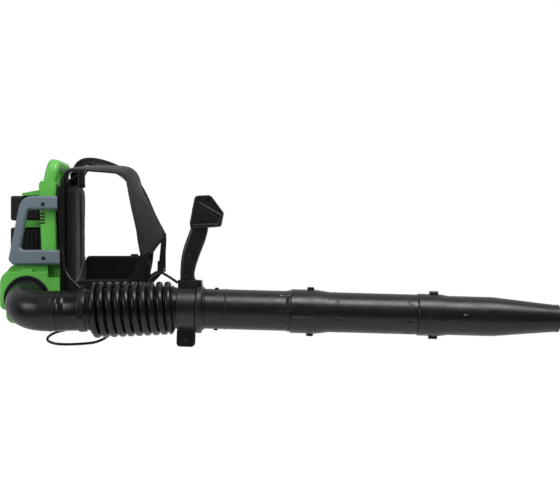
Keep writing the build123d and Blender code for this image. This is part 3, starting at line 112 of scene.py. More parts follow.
def new_finish(name, colour, roughness):
    """An empty finish: its node tree, its shader and its object coordinates."""
    finish = bpy.data.materials.new(name)
    finish.use_nodes = True
    tree = finish.node_tree
    shader = tree.nodes["Principled BSDF"]
    shader.inputs["Base Color"].default_value = (*colour, 1)
    shader.inputs["Roughness"].default_value = roughness
    coords = tree.nodes.new("ShaderNodeTexCoord")
    finishes[name] = finish
    return tree, shader, coords


def noise(tree, vector, scale, detail, stretch=None):
    """A noise pattern on a vector, drawn out along an axis where a stretch is given."""
    if stretch:
        mapping = tree.nodes.new("ShaderNodeMapping")
        mapping.inputs["Scale"].default_value = stretch
        tree.links.new(vector, mapping.inputs["Vector"])
        vector = mapping.outputs["Vector"]
    texture = tree.nodes.new("ShaderNodeTexNoise")
    texture.inputs["Scale"].default_value = scale
    texture.inputs["Detail"].default_value = detail
    tree.links.new(vector, texture.inputs["Vector"])
    return texture.outputs["Fac"]


def spread(tree, value, low, high):
    """A pattern's middle range spread between two numbers."""
    ranged = tree.nodes.new("ShaderNodeMapRange")
    ranged.inputs["From Min"].default_value = MIDDLE_RANGE[0]
    ranged.inputs["From Max"].default_value = MIDDLE_RANGE[1]
    ranged.inputs["To Min"].default_value = low
    ranged.inputs["To Max"].default_value = high
    tree.links.new(value, ranged.inputs["Value"])
    return ranged.outputs["Result"]


def tint(tree, value, dark, light):
    """A colour that runs from dark to light with a pattern."""
    mix = tree.nodes.new("ShaderNodeMix")
    mix.data_type = "RGBA"
    mix.inputs["A"].default_value = (*dark, 1)
    mix.inputs["B"].default_value = (*light, 1)
    tree.links.new(value, mix.inputs["Factor"])
    return mix.outputs["Result"]


def grey(level):
    """A neutral colour."""
    return (level, level, level)


def shaded(tree, shader, value, colour, share):
    """Colours a surface with a darker and a lighter shade of its colour, by a pattern."""
    dark, light = [tuple(part * (1 + way * share) for part in colour) for way in (-1, 1)]
    colours = tint(tree, spread(tree, value, 0.0, 1.0), dark, light)
    tree.links.new(colours, shader.inputs["Base Color"])


def relief(tree, shader, height, distance, strength=1.0, edge=0.0):
    """A pattern raised on the surface by a distance, whose sharp edges shade as rounds of an edge."""
    bump = tree.nodes.new("ShaderNodeBump")
    if edge:
        soft = tree.nodes.new("ShaderNodeBevel")
        soft.inputs["Radius"].default_value = edge
        tree.links.new(soft.outputs["Normal"], bump.inputs["Normal"])
    bump.inputs["Distance"].default_value = distance
    bump.inputs["Strength"].default_value = strength
    tree.links.new(height, bump.inputs["Height"])
    tree.links.new(bump.outputs["Normal"], shader.inputs["Normal"])


def moulded(name, colour, roughness, grain, depth, mottle=0.1, gloss=0.5):
    """Moulded plastic: fine spark grain, slight mottle and hand-worn patches of gloss."""
    tree, shader, coords = new_finish(name, colour, roughness)
    shader.inputs["Specular IOR Level"].default_value = gloss
    place = coords.outputs["Object"]
    shaded(tree, shader, noise(tree, place, PATCH_SCALE, detail=4.0), colour, mottle)
    wear = noise(tree, place, WEAR_SCALE, detail=6.0)
    polish = spread(tree, wear, roughness + WEAR_RANGE[0], roughness + WEAR_RANGE[1])
    tree.links.new(polish, shader.inputs["Roughness"])
    relief(tree, shader, noise(tree, place, grain, detail=2.0), depth, edge=EDGE_SHADE)


def bands(tree, vector, direction, period):
    """Even bands across a direction, one every period."""
    texture = tree.nodes.new("ShaderNodeTexWave")
    texture.bands_direction = direction
    texture.inputs["Scale"].default_value = 2 * math.pi / (WAVE_FACTOR * period)
    tree.links.new(vector, texture.inputs["Vector"])
    return texture.outputs["Fac"]


def worked(tree, first, second, operation):
    """Two patterns worked into one."""
    node = tree.nodes.new("ShaderNodeMath")
    node.operation = operation
    tree.links.new(first, node.inputs[0])
    tree.links.new(second, node.inputs[1])
    return node.outputs["Value"]


def woven(name, colour, period, coordinate, directions, depth, sheen=0.25, slack=0.0):
    """Woven cloth: crossing threads, faded patches, a soft sheen and the dips of a slack cover."""
    tree, shader, coords = new_finish(name, colour, CLOTH_ROUGHNESS)
    place = coords.outputs[coordinate]
    warp = bands(tree, place, directions[0], period)
    weft = bands(tree, place, directions[1], period * WEFT_RATIO)
    weave = worked(tree, warp, weft, "MAXIMUM")
    fade = noise(tree, coords.outputs["Object"], FADE_SCALE, detail=5.0)
    shaded(tree, shader, worked(tree, weave, fade, "MULTIPLY"), colour, CLOTH_SHADES)
    shader.inputs["Sheen Weight"].default_value = sheen
    shader.inputs["Sheen Roughness"].default_value = SHEEN_ROUGHNESS
    shader.inputs["Specular IOR Level"].default_value = CLOTH_GLOSS
    height = weave
    if slack:
        dips = noise(tree, coords.outputs["Object"], DIP_SCALE, detail=2.0)
        height = worked(tree, weave, spread(tree, dips, 0.0, slack), "ADD")
    relief(tree, shader, height, depth, CLOTH_RELIEF)


def metal(name, colour, roughness, stretch):
    """Turned or plated metal with fine drawn lines."""
    tree, shader, coords = new_finish(name, colour, roughness)
    shader.inputs["Metallic"].default_value = 1.0
    lines = noise(tree, coords.outputs["Object"], LINE_SCALE, 4.0, stretch)
    polish = spread(tree, lines, roughness + LINE_RANGE[0], roughness + LINE_RANGE[1])
    tree.links.new(polish, shader.inputs["Roughness"])
    shaded(tree, shader, lines, colour, LINE_SHADES)
    relief(tree, shader, lines, LINE_DEPTH)


moulded("green_plastic", GREEN, 0.42, grain=1500.0, depth=0.06 * MM, mottle=0.05)
moulded("slate_plastic", SLATE, 0.50, grain=1300.0, depth=0.10 * MM, mottle=0.07)
moulded("black_duct", (0.0050, 0.0050, 0.0053), 0.34, grain=1400.0, depth=0.05 * MM, mottle=0.12, gloss=0.33)
moulded("black_plastic", (0.0050, 0.0050, 0.0054), 0.36, 1300.0, depth=0.07 * MM, mottle=0.15, gloss=0.38)
moulded("pack_plastic", (0.0070, 0.0074, 0.0076), 0.46, 1100.0, depth=0.10 * MM, mottle=0.15, gloss=0.30)
moulded("frame_plastic", grey(0.006), 0.55, grain=900.0, depth=0.12 * MM, mottle=0.15, gloss=0.09)
moulded("black_rubber", grey(0.0034), 0.29, grain=1600.0, depth=0.06 * MM, mottle=0.20, gloss=0.29)
woven("black_fabric", grey(0.007), 1.6 * MM, "Object", ("Y", "Z"), depth=0.3 * MM, sheen=0.06, slack=4.0)
woven("black_webbing", grey(0.0035), 1.8 * MM, "UV", ("X", "Y"), depth=0.3 * MM, sheen=0.04)
woven("strap_cloth", (0.022, 0.022, 0.024), 1.6 * MM, "UV", ("X", "Y"), 0.3 * MM, sheen=0.2, slack=6.0)
woven("belt_cloth", grey(0.003), 1.8 * MM, "UV", ("X", "Y"), depth=0.3 * MM, sheen=0.03, slack=5.0)
woven("thread", grey(0.020), 0.8 * MM, "Object", ("X", "Z"), depth=0.2 * MM, sheen=0.06)
woven("binding", grey(0.012), 1.1 * MM, "UV", ("X", "Y"), depth=0.3 * MM)
metal("steel", (0.56, 0.56, 0.57), 0.32, stretch=(1, 14, 1))
metal("dark_screws", (0.07, 0.07, 0.075), 0.40, stretch=(1, 14, 1))
metal("aluminium", (0.72, 0.73, 0.74), 0.35, stretch=(14, 1, 1))

for part in frame["record"]["subparts"]:
    cad_node = nodes[part["node"]]
    cad_node.data.materials.clear()
    cad_node.data.materials.append(finishes[part["material_slot"]])


# Ways of making pieces


def finished(name, bm, materials, crease=40):
    """A bmesh made into a smooth shaded piece, with edges sharper than the crease kept crisp."""
    bmesh.ops.recalc_face_normals(bm, faces=bm.faces)
    mesh = bpy.data.meshes.new(name)
    bm.to_mesh(mesh)
    bm.free()
    for material in materials:
        mesh.materials.append(finishes[material])
    mesh.shade_smooth()
    mesh.set_sharp_from_angle(angle=math.radians(crease))
    piece = bpy.data.objects.new(name, mesh)
    bpy.context.collection.objects.link(piece)
    return piece


def seated(piece, body, replaced=None):
    """Sets a piece on its body, and in the place of a node where one is named."""
    if replaced:
        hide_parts(replaced)
    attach(piece, body)
    return piece


def rounded_edges(bm, edges, offset, segments=2):
    """Rounds edges of a bmesh, also where two rounds run into each other."""
    bmesh.ops.bevel(bm, geom=edges, offset=offset, affect="EDGES", segments=segments, profile=0.5,
                    material=-1, clamp_overlap=False)


def closed_ends(bm):
    """Fills the open ends of a bmesh."""
    bmesh.ops.holes_fill(bm, edges=[edge for edge in bm.edges if edge.is_boundary], sides=0)


def open_line(bm, places):
    """A line of edges through places, ready to be spun."""
    line = [bm.verts.new(place) for place in places]
    return line + [bm.edges.new(pair) for pair in zip(line, line[1:])]


def evaluated_copy(piece):
    """The mesh that a piece shows with its modifiers."""
    return bpy.data.meshes.new_from_object(piece.evaluated_get(bpy.context.evaluated_depsgraph_get()))


def drawn_curve(points, kind, radius=0.0):
    """The mesh of a curve on guide points: a line, or a round tube where a radius is given."""
    curve = bpy.data.curves.new("route", "CURVE")
    curve.dimensions = "3D"
    spline = curve.splines.new(kind)
    spline.points.add(len(points) - 1)
    for guide, point in zip(spline.points, points):
        guide.co = (*point, 1)
    if kind == "NURBS":
        spline.order_u = ROUTE_ORDER
        spline.use_endpoint_u = True
        spline.resolution_u = ROUTE_STEPS
    if radius:
        curve.bevel_depth = radius
        curve.bevel_resolution = CORD_ROUNDNESS
        curve.use_fill_caps = True
    holder = bpy.data.objects.new("route", curve)
    bpy.context.collection.objects.link(holder)
    drawn = evaluated_copy(holder)
    bpy.data.objects.remove(holder)
    return drawn


def smooth_route(points):
    """Points along one smooth curve drawn by a list of guide points."""
    return [vertex.co.copy() for vertex in drawn_curve(points, "NURBS").vertices]


def sleeve(name, rows, section, materials, edge_share=None):
    """A closed soft form: a section wrapped round rows of (middle, across, through).

    Faces whose section points lie past the edge share take the second material.
    """
    bm = bmesh.new()
    cloth = bm.loops.layers.uv.new("cloth")
    around = len(section)
    bmesh.ops.create_grid(bm, x_segments=around, y_segments=len(rows) - 1, size=0.5)

    def row_and_column(vert):
        """Where a corner of the flat grid belongs on the form."""
        return round((vert.co.y + 0.5) * (len(rows) - 1)), round((vert.co.x + 0.5) * around) % around

    lengths = [0.0]
    for (here, *_), (there, *_) in zip(rows, rows[1:]):
        lengths.append(lengths[-1] + (there - here).length)
    for face in bm.faces:
        shares = []
        for loop in face.loops:
            row, column = row_and_column(loop.vert)
            share = section[column][0]
            shares.append(abs(share))
            loop[cloth].uv = (share * rows[row][1].length, lengths[row])
        if edge_share and min(shares) > edge_share:
            face.material_index = 1
    for vert in bm.verts:
        row, column = row_and_column(vert)
        middle, across, through = rows[row]
        vert.co = middle + across * section[column][0] + through * section[column][1]
    bmesh.ops.remove_doubles(bm, verts=bm.verts, dist=WELD)
    closed_ends(bm)
    return finished(name, bm, materials, SOFT_CREASE)


def mirrored_section(half):
    """A whole section from the points of its upper left quarter, run round in order."""
    upper = half + [(-across, through) for across, through in reversed(half[:-1])]
    lower = [(across, -through) for across, through in reversed(upper[1:-1])]
    return upper + lower


def rounded(piece, levels=1):
    """A subdivision surface that rounds a piece."""
    surface = piece.modifiers.new("rounded", "SUBSURF")
    surface.levels = levels
    surface.render_levels = levels
    return piece


# Rigid pieces that need more than their nodes show

VENT_COUNT = 4
VENT_AHEAD = 38.4 * MM
VENT_TOP = 293 * MM
VENT_PITCH = 8.4 * MM
VENT_DEPTH = 2.4 * MM
VENT_SIZE = (12.0 * MM, 3.0 * MM, 3.8 * MM)
VENT_ROUND = 0.4 * MM
NODE_WELD = 0.004 * MM
FLAT_ANGLE = math.radians(1)
SHARP_ANGLE = math.radians(32)
RIGID_CREASE = 30
TUBE_CREASE = 7

# Node, body, slot and width of the eased edges in millimetres
EASED_NODES = (
    ("handle_shell_right", "handle", "black_plastic", 1.0),
    ("handle_shell_left", "handle", "black_plastic", 1.0),
    ("handle_clamp", "handle", "black_plastic", 0.7),
    ("fan_housing_right", "chassis", "green_plastic", 0.9),
    ("fan_housing_left", "chassis", "green_plastic", 0.9),
    ("column_right", "chassis", "green_plastic", 0.8),
    ("column_left", "chassis", "green_plastic", 0.8),
    ("back_frame", "chassis", "black_plastic", 0.8),
    ("outlet_ring", "chassis", "black_plastic", 0.7),
    ("hose_clamp", "chassis", "black_plastic", 0.7),
    ("swivel_collar", "tube", "black_plastic", 0.7),
    ("swivel_tube", "tube", "black_duct", 0.6),
    ("upper_tube", "tube", "black_duct", 0.6),
    ("middle_tube", "middle", "black_duct", 0.6),
    ("nozzle", "nozzle", "black_duct", 0.6),
    ("battery_upper", "battery_upper", "pack_plastic", 0.8),
    ("battery_lower", "battery_lower", "pack_plastic", 0.8),
)


def vent_shade_plate(side_name, side):
    """Dark plates sunk behind the vent slots of a column, painted shade that makes the slots read dark."""
    low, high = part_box("column_" + side_name)
    face = low.y if side < 0 else high.y
    size = Matrix.Diagonal((*VENT_SIZE, 1))
    bm = bmesh.new()
    for slot in range(VENT_COUNT):
        place = Vector((VENT_AHEAD, face - side * VENT_DEPTH, VENT_TOP - VENT_PITCH * slot))
        bmesh.ops.create_cube(bm, size=1.0, matrix=Matrix.Translation(place) @ size)
    rounded_edges(bm, bm.edges[:], VENT_ROUND)
    seated(finished("vent_shade_plate_" + side_name, bm, ["black_plastic"]), "chassis")


def eased_copy(node, body, slot, width):
    """A rigid node's own shape with its sharp edges eased, shown in its place."""
    bm = bmesh.new()
    bm.from_mesh(nodes[node].data)
    bmesh.ops.remove_doubles(bm, verts=bm.verts, dist=NODE_WELD)
    bmesh.ops.dissolve_limit(bm, angle_limit=FLAT_ANGLE, verts=bm.verts, edges=bm.edges)
    joined = [edge for edge in bm.edges if len(edge.link_faces) == 2]
    sharp = [edge for edge in joined if edge.calc_face_angle() > SHARP_ANGLE]
    rounded_edges(bm, sharp, width)
    finish = "frame_plastic" if node == "back_frame" else slot
    crease = TUBE_CREASE if slot == "black_duct" else RIGID_CREASE
    piece = finished(node + "_eased", bm, [finish], crease)
    shading = piece.modifiers.new("even_shading", "WEIGHTED_NORMAL")
    shading.keep_sharp = True
    seated(piece, body, node)


# Dark plates in the vent slots: painted shade inside them
for side_name, side in SIDES:
    vent_shade_plate(side_name, side)
for node, body, slot, width in EASED_NODES:
    eased_copy(node, body, slot, width * MM)


# Ribbed hose: one rib wound in a coil, in two sleeves that part along the valley left still by both joints

HOSE_RISE = math.radians(1.5)
HOSE_ROOT = Vector((75.0, -205.3, 36.49)) * MM
HOSE_WAY = Vector((math.cos(HOSE_RISE), 0, math.sin(HOSE_RISE)))
RIB_PITCH = 21.7 * MM
RIB_CREST = (73.0 * MM, 69.0 * MM)
RIB_RISE = 9.0 * MM
RIB_FLANK = 0.7
RIB_CROWN = 0.8
VALLEY_RADIUS = 56.0 * MM
VALLEY_SHARE = 0.05
COIL_START = 98.75 * MM
COIL_TURNS = 6
COIL_STEPS = 96
COIL_WELD = 0.02 * MM
RIM_REACH = 0.01 * MM
CUT_REACH = 0.0001 * MM
HOSE_START = 21.3 * MM
RIB_START = 109.3 * MM
HOSE_WALL = 2.4 * MM
HOSE_BORE = 48.8 * MM
CUFF_RADIUS = 52.4 * MM
CUFF_GROOVES = (44.0 * MM, 26.0 * MM)
CUFF_EASE = (0.8 * MM, 0.6 * MM)
GROOVE_HALF = 1.6 * MM
GROOVE_DEPTH = 1.1 * MM
HOSE_END = 326.3 * MM
LIP_END = HOSE_END + 7.0 * MM
LIP_FLAT = 3.0 * MM
LIP_RADIUS = 54.6 * MM
LIP_SHOULDER = (0.4 * MM, 0.3 * MM)
LIP_TIP = 1.0 * MM
LIP_BORE = 51.5 * MM
LIP_STEP = 2.0 * MM
STILL_TURN = 5
STILL_MARK = COIL_START + STILL_TURN * RIB_PITCH
LINER_RADIUS = VALLEY_RADIUS - HOSE_WALL


def hose_point(mark):
    """A place on the hose line."""
    return HOSE_ROOT + HOSE_WAY * mark


def mark_of(vert):
    """How far along the hose line a corner lies."""
    return (vert.co - HOSE_ROOT).dot(HOSE_WAY)


def rib_profile(start, steps=16):
    """Marks and radii over the turns of the rib, where it passes on the wearer's left."""
    profile = [(start, VALLEY_RADIUS)]
    for turn in range(COIL_TURNS):
        for step in range(steps + 1):
            angle = math.pi * step / steps
            lean = -math.cos(angle)
            share = (1 + math.copysign(abs(lean) ** RIB_FLANK, lean)) / 2
            share = VALLEY_SHARE + (1 - 2 * VALLEY_SHARE) * share
            height = (RIB_CREST[0] - VALLEY_RADIUS) * abs(math.sin(angle)) ** RIB_CROWN
            profile.append((start + (turn + share) * RIB_PITCH, VALLEY_RADIUS + height))
        profile.append((start + (turn + 1) * RIB_PITCH, VALLEY_RADIUS))
    return profile


def coil(start):
    """The skin of a run of turns, spun one pitch ahead in each, lower to the front and at the ends."""
    bm = bmesh.new()
    line = open_line(bm, [hose_point(mark) + LEFTWARD * radius for mark, radius in rib_profile(start)])
    bmesh.ops.spin(bm, geom=line, cent=HOSE_ROOT, axis=HOSE_WAY, dvec=HOSE_WAY * RIB_PITCH / COIL_STEPS,
                   angle=2 * math.pi, steps=COIL_STEPS)
    bmesh.ops.remove_doubles(bm, verts=bm.verts, dist=COIL_WELD)
    for vert in bm.verts:
        mark = mark_of(vert)
        share = (mark - RIB_START) / (HOSE_END - RIB_START)
        middle = hose_point(mark)
        radius = (vert.co - middle).length
        fall = (RIB_CREST[0] - RIB_CREST[1]) / (RIB_CREST[0] - VALLEY_RADIUS) * share
        rise = max(0.0, min(1.0, (mark - RIB_START) / RIB_RISE, (HOSE_END - mark) / RIB_RISE))
        height = (radius - VALLEY_RADIUS) * (1 - fall) * math.sin(rise * math.pi / 2)
        vert.co = middle + (vert.co - middle) * (VALLEY_RADIUS + height) / radius
    return bm


def trimmed(bm, mark, keep_ahead):
    """Cuts a coil square at a mark and keeps one side."""
    bmesh.ops.bisect_plane(bm, geom=bm.verts[:] + bm.edges[:] + bm.faces[:], dist=CUT_REACH,
                           plane_co=hose_point(mark), plane_no=HOSE_WAY,
                           clear_inner=keep_ahead, clear_outer=not keep_ahead)


def carried_on(bm, mark, rows):
    """Carries the cut end of a coil on through rows of mark and radius."""
    for ahead, radius in rows:
        rim = [edge for edge in bm.edges if edge.is_boundary
               and all(abs(mark_of(vert) - mark) < RIM_REACH for vert in edge.verts)]
        grown = bmesh.ops.extrude_edge_only(bm, edges=rim)["geom"]
        for vert in [item for item in grown if isinstance(item, bmesh.types.BMVert)]:
            middle = hose_point(mark_of(vert))
            vert.co = hose_point(ahead) + (vert.co - middle).normalized() * radius
        mark = ahead


def rear_sleeve():
    """The rear turns of the hose, its grooved cuff on the elbow and its liner."""
    bm = coil(COIL_START - RIB_PITCH)
    trimmed(bm, RIB_START, True)
    rows = [(RIB_START, CUFF_RADIUS)]
    for groove in CUFF_GROOVES:
        rows += [
            (groove + GROOVE_HALF, CUFF_RADIUS),
            (groove, CUFF_RADIUS - GROOVE_DEPTH),
            (groove - GROOVE_HALF, CUFF_RADIUS),
        ]
    rows += [
        (HOSE_START + CUFF_EASE[0], CUFF_RADIUS),
        (HOSE_START, CUFF_RADIUS - CUFF_EASE[1]),
        (HOSE_START, HOSE_BORE),
        (RIB_START - HOSE_WALL, HOSE_BORE),
        (RIB_START, LINER_RADIUS),
        (STILL_MARK, LINER_RADIUS),
    ]
    carried_on(bm, RIB_START, rows)
    return finished("hose_rear", bm, ["black_rubber"], RUBBER_CREASE)


def front_sleeve():
    """The front turns of the hose, its lip on the handle's pipe and its liner."""
    bm = coil(STILL_MARK)
    trimmed(bm, HOSE_END, False)
    carried_on(bm, HOSE_END, [
        (HOSE_END, LIP_RADIUS),
        (HOSE_END + LIP_FLAT, LIP_RADIUS),
        (LIP_END - LIP_SHOULDER[0], LIP_RADIUS - LIP_SHOULDER[1]),
        (LIP_END, LIP_RADIUS - LIP_TIP),
        (LIP_END, LIP_BORE),
        (HOSE_END + LIP_STEP, LIP_BORE),
        (HOSE_END, LINER_RADIUS),
        (STILL_MARK, LINER_RADIUS),
    ])
    return finished("hose_front", bm, ["black_rubber"], RUBBER_CREASE)


hose_rear = rear_sleeve()
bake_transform(hose_rear)
hose_front = front_sleeve()
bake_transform(hose_front)
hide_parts("hose")


# Control cable: the source's route, cut where it passes from one moving body to the next

CABLE_RADIUS = 3.5 * MM
CABLE_POINTS = [Vector(point) * MM for point in (
    (94.5, -124, 198),
    (94.5, -124, 136),
    (155, -148, 90),
    (158, -136, 30),
    (120, -128, -14),
    (72, -128, -24),
    (58, -172, -40),
    (92, -206, -50),
    (152, -196, -50),
    (205, -166, -46),
    (248, -130, -8),
    (286, -119, 54),
    (322, -126, 118),
    (352, -160, 142),
    (380, -192, 130),
    (408.79, -205.3, 111.23),
)]

# Each run's name, the guide point where it ends, and the bodies that it bends between
CABLE_RUNS = (
    ("cable_body", 9, None),
    ("cable_rear", 11, ("chassis", "hose")),
    ("cable_front", 13, ("hose", "cuff")),
    ("cable_handle", 15, ("cuff", "handle")),
)
RELIEF_RIBS = 5
RELIEF_COLLAR = 0.14
RELIEF_RIBBED = (0.20, 0.96)
RELIEF_LAND = 0.05
RELIEF_SLOPE = 0.02
RELIEF_SHOULDER = 0.8 * MM
RELIEF_GROOVE = 0.7 * MM
RELIEF_WALL = 0.9 * MM
RELIEF_GRIP = 0.4 * MM
RELIEF_STEPS = 40
RELIEF_CREASE = 35


def strain_relief():
    """The tapered, ribbed rubber sleeve that the cable comes out of."""
    low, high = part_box("cable_gland")
    middle = (low + high) / 2
    base = (high.x - low.x) / 2
    shoulder = base - RELIEF_SHOULDER
    tip = CABLE_RADIUS + RELIEF_WALL
    pitch = (RELIEF_RIBBED[1] - RELIEF_RIBBED[0]) / RELIEF_RIBS
    profile = [(0.0, base), (RELIEF_COLLAR, base)]
    for rib in range(RELIEF_RIBS):
        near = RELIEF_RIBBED[0] + pitch * rib
        radius = shoulder + (tip - shoulder) * near
        profile += [
            (near, radius),
            (near + RELIEF_LAND, radius),
            (near + RELIEF_LAND + RELIEF_SLOPE, radius - RELIEF_GROOVE),
            (near + pitch - RELIEF_SLOPE, radius - RELIEF_GROOVE),
        ]
    profile += [(1.0, tip), (1.0, CABLE_RADIUS - RELIEF_GRIP)]
    bm = bmesh.new()
    drop = high.z - low.z
    line = open_line(bm, [(middle.x + radius, middle.y, high.z - share * drop) for share, radius in profile])
    bmesh.ops.spin(bm, geom=line, cent=middle, axis=(0, 0, 1), angle=2 * math.pi, steps=RELIEF_STEPS,
                   use_merge=True)
    closed_ends(bm)
    piece = finished("strain_relief", bm, ["black_rubber"], RELIEF_CREASE)
    seated(piece, "chassis", "cable_gland")


def cable_tube(name, route):
    """A round cable along a route."""
    bm = bmesh.new()
    bm.from_mesh(drawn_curve(route, "POLY", CABLE_RADIUS))
    bmesh.ops.remove_doubles(bm, verts=bm.verts, dist=WELD)
    return finished(name, bm, ["black_rubber"], RUBBER_CREASE)


def control_cable():
    """The cable from the body to the handle, in runs that follow each other."""
    route = smooth_route(CABLE_POINTS)
    start = 0
    for name, guide, bodies in CABLE_RUNS:
        end = min(range(len(route)), key=lambda step: (route[step] - CABLE_POINTS[guide]).length)
        run = route[start:end + 1]
        cable = cable_tube(name, run)
        if bodies:
            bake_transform(cable)
        else:
            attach(cable, "chassis")
            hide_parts("control_cable")
        start = end


strain_relief()
control_cable()


# Harness

# Rows of a shoulder strap from the frame to its tip: ahead, out, up in millimetres, twist in degrees, width
STRAP_ROWS = {
    "right": (
        (92.5, 72, 392, 0, 50),
        (102.1, 74, 409, 2, 53),
        (129.9, 76, 415, 8, 60),
        (176, 78, 416, 16, 64),
        (236.1, 79, 413, 20, 66),
        (263, 80, 407, 23, 66),
        (277, 80, 389, 27, 66),
        (285, 81, 356, 29, 66),
        (301.1, 83, 310, 46, 67),
        (320, 85, 258, 62, 73),
        (329.6, 88, 225.5, 79, 78),
        (322, 90, 203, 80, 54),
        (314, 91, 182, 80, 28),
    ),
    "left": (
        (92.5, 72, 392, 0, 50),
        (97.1, 73, 420, 4, 55),
        (113, 75, 441, 9, 59),
        (139.9, 77, 446, 14, 62),
        (181.9, 78, 438, 16, 64),
        (228, 79, 416, 20, 66),
        (261.9, 80, 386, 26, 66),
        (281.9, 82, 350, 32, 66),
        (296.1, 84, 305, 44, 66),
        (308.9, 86, 257, 60, 68),
        (318, 88, 224, 78, 70),
        (308, 90, 203, 80, 50),
        (301, 91, 182, 80, 28),
    ),
}
STRAP_STEPS = 4
STRAP_TIP_ROWS = 2
STRAP_THICKNESS = 12 * MM
STRAP_SECTION = mirrored_section([
    (-1.0, 0.0),
    (-0.99, 0.34),
    (-0.95, 0.46),
    (-0.88, 0.44),
    (-0.84, 0.30),
    (-0.79, 0.50),
    (-0.62, 0.80),
    (-0.34, 0.95),
    (0.0, 1.0),
])
BINDING_SHARE = 0.83
SEAM_SHARES = (-0.90, 0.90)
SEAM_STAND = 0.47
STITCH_SIZE = (2.9 * MM, 0.7 * MM, 0.5 * MM)
STITCH_PITCH = 4.5 * MM
ROOT_TOP = {"right": 407 * MM, "left": 430 * MM}
ROOT_AHEAD = 116 * MM
ROOT_OUT = 55 * MM
ROOT_DEPTH = 25 * MM
ROOT_WIDTH = 20 * MM
ROOT_SINK = 10 * MM
ROOT_WAIST = 0.12
BELT_THICKNESS = 10 * MM
BELT_CORNER = 26 * MM
BELT_TUCK = 2 * MM
BELT_CROWDING = 1.6
BELT_OUT = 89 * MM
BELT_CURL = 11 * MM
BELT_CURL_START = 140 * MM
BELT_CURL_END = 310 * MM
BELT_CURL_POWER = 1.8
LUMBAR_HEIGHT = 80 * MM
LUMBAR_THICKNESS = 7 * MM
LUMBAR_STAND = 3 * MM
LUMBAR_FALL = 4 * MM
LUMBAR_FALL_POWER = 8
WEB_SECTION = mirrored_section([(-1.0, 0.0), (-1.0, 0.6), (-0.95, 1.0), (-0.3, 1.0), (0.0, 1.0)])
WEB_THICKNESS = 2 * MM
WEB_WIDTH = 26 * MM
WEB_OUT = 95.3 * MM
WEB_TUCK = Vector((2, 0, 10)) * MM
LOAD_WIDTH = 22 * MM
LOAD_TUCK = 9 * MM
LOAD_STEPS = 6
TAIL_WIDTH = 14 * MM
TAIL_CORNER = 0.86
TAIL_STAND = 2.4 * MM

# Guides of the webs in millimetres: ahead and up for the adjusting web
WEB_GUIDES = ((301, 152), (284, 109), (262, 96), (205, 57), (150, 45), (98, 35))
# Ahead, out and up for the tail: under the strap's tip, at the ladder lock and beside the web
TAIL_TIP_GUIDE = (0, 0, 6)
TAIL_HANG_GUIDE = (6, 2.5, -18)
TAIL_LOCK_GUIDES = ((1, 3.2, 34), (0, -0.5, 15), (-3, 3.2, 2), (-26, 8, -22))
TAIL_WEB_GUIDES = ((-58, 0, -52), (-82, 0, -64))


def through_rows(rows, steps):
    """Rows filled in along a smooth line through them all."""
    full = []
    for index in range(len(rows) - 1):
        before = rows[max(index - 1, 0)]
        near = rows[index]
        far = rows[index + 1]
        after = rows[min(index + 2, len(rows) - 1)]
        for step in range(steps):
            t = step / steps
            full.append([
                n + 0.5 * t * (f - b + t * (2 * b - 5 * n + 4 * f - a + t * (3 * (n - f) + a - b)))
                for b, n, f, a in zip(before, near, far, after)
            ])
    full.append(list(rows[-1]))
    return full


def strap_frames(side_name, side):
    """Middle, across and through of a shoulder strap along its length."""
    rows = through_rows(STRAP_ROWS[side_name], STRAP_STEPS)
    tip = len(rows) - 1 - STRAP_TIP_ROWS * STRAP_STEPS - STRAP_STEPS // 2
    places = [Vector((ahead, side * out, up)) * MM for ahead, out, up, _, _ in rows]
    frames = []
    for index, (*_, twist, width) in enumerate(rows):
        here = min(index, tip)
        along = places[here + 1] - places[max(here - 1, 0)]
        if index == 0:
            along = Vector((0, 0, 1))
        along.normalize()
        outward = Vector((-along.z, 0, along.x)).normalized()
        turn = math.radians(twist)
        across = Vector((0, side * math.cos(turn), 0)) - outward * math.sin(turn)
        across = (across - along * across.dot(along)).normalized()
        through = along.cross(across)
        half = width * MM / 2
        frames.append((places[index], across * half, through * STRAP_THICKNESS / 2))
    return frames


def root_frames(side_name, side, steps=8):
    """Middle, across and through of the padded root that joins a strap's underside to the pad's top."""
    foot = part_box("back_pad")[1].z - ROOT_SINK
    head = ROOT_TOP[side_name]
    frames = []
    for step in range(steps + 1):
        share = step / steps
        half = ROOT_DEPTH * (1 - ROOT_WAIST * math.sin(share * math.pi)) / 2
        place = Vector((ROOT_AHEAD, side * ROOT_OUT, foot + (head - foot) * share))
        frames.append((place, Vector((half, 0, 0)), Vector((0, ROOT_WIDTH / 2, 0))))
    return frames


def belt_frames(side_name, side, steps=16):
    """Middle, across and through of a hip belt wing from the pad to its round front end."""
    low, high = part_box("hip_belt_" + side_name)
    half_height = (high.z - low.z) / 2
    start = low.x + BELT_TUCK
    frames = []
    for step in range(steps + 1):
        share = 1 - (1 - step / steps) ** BELT_CROWDING
        along = start + (high.x - start) * share
        bend = max(0.0, along - BELT_CURL_START) / (BELT_CURL_END - BELT_CURL_START)
        out = BELT_OUT - BELT_CURL * bend**BELT_CURL_POWER
        drop = max(0.0, BELT_CORNER - (high.x - along))
        half = half_height - BELT_CORNER + math.sqrt(max(BELT_CORNER**2 - drop**2, 0.0))
        place = Vector((along, side * out, (high.z + low.z) / 2))
        frames.append((place, Vector((0, 0, half)), Vector((0, -side * BELT_THICKNESS / 2, 0))))
    return frames


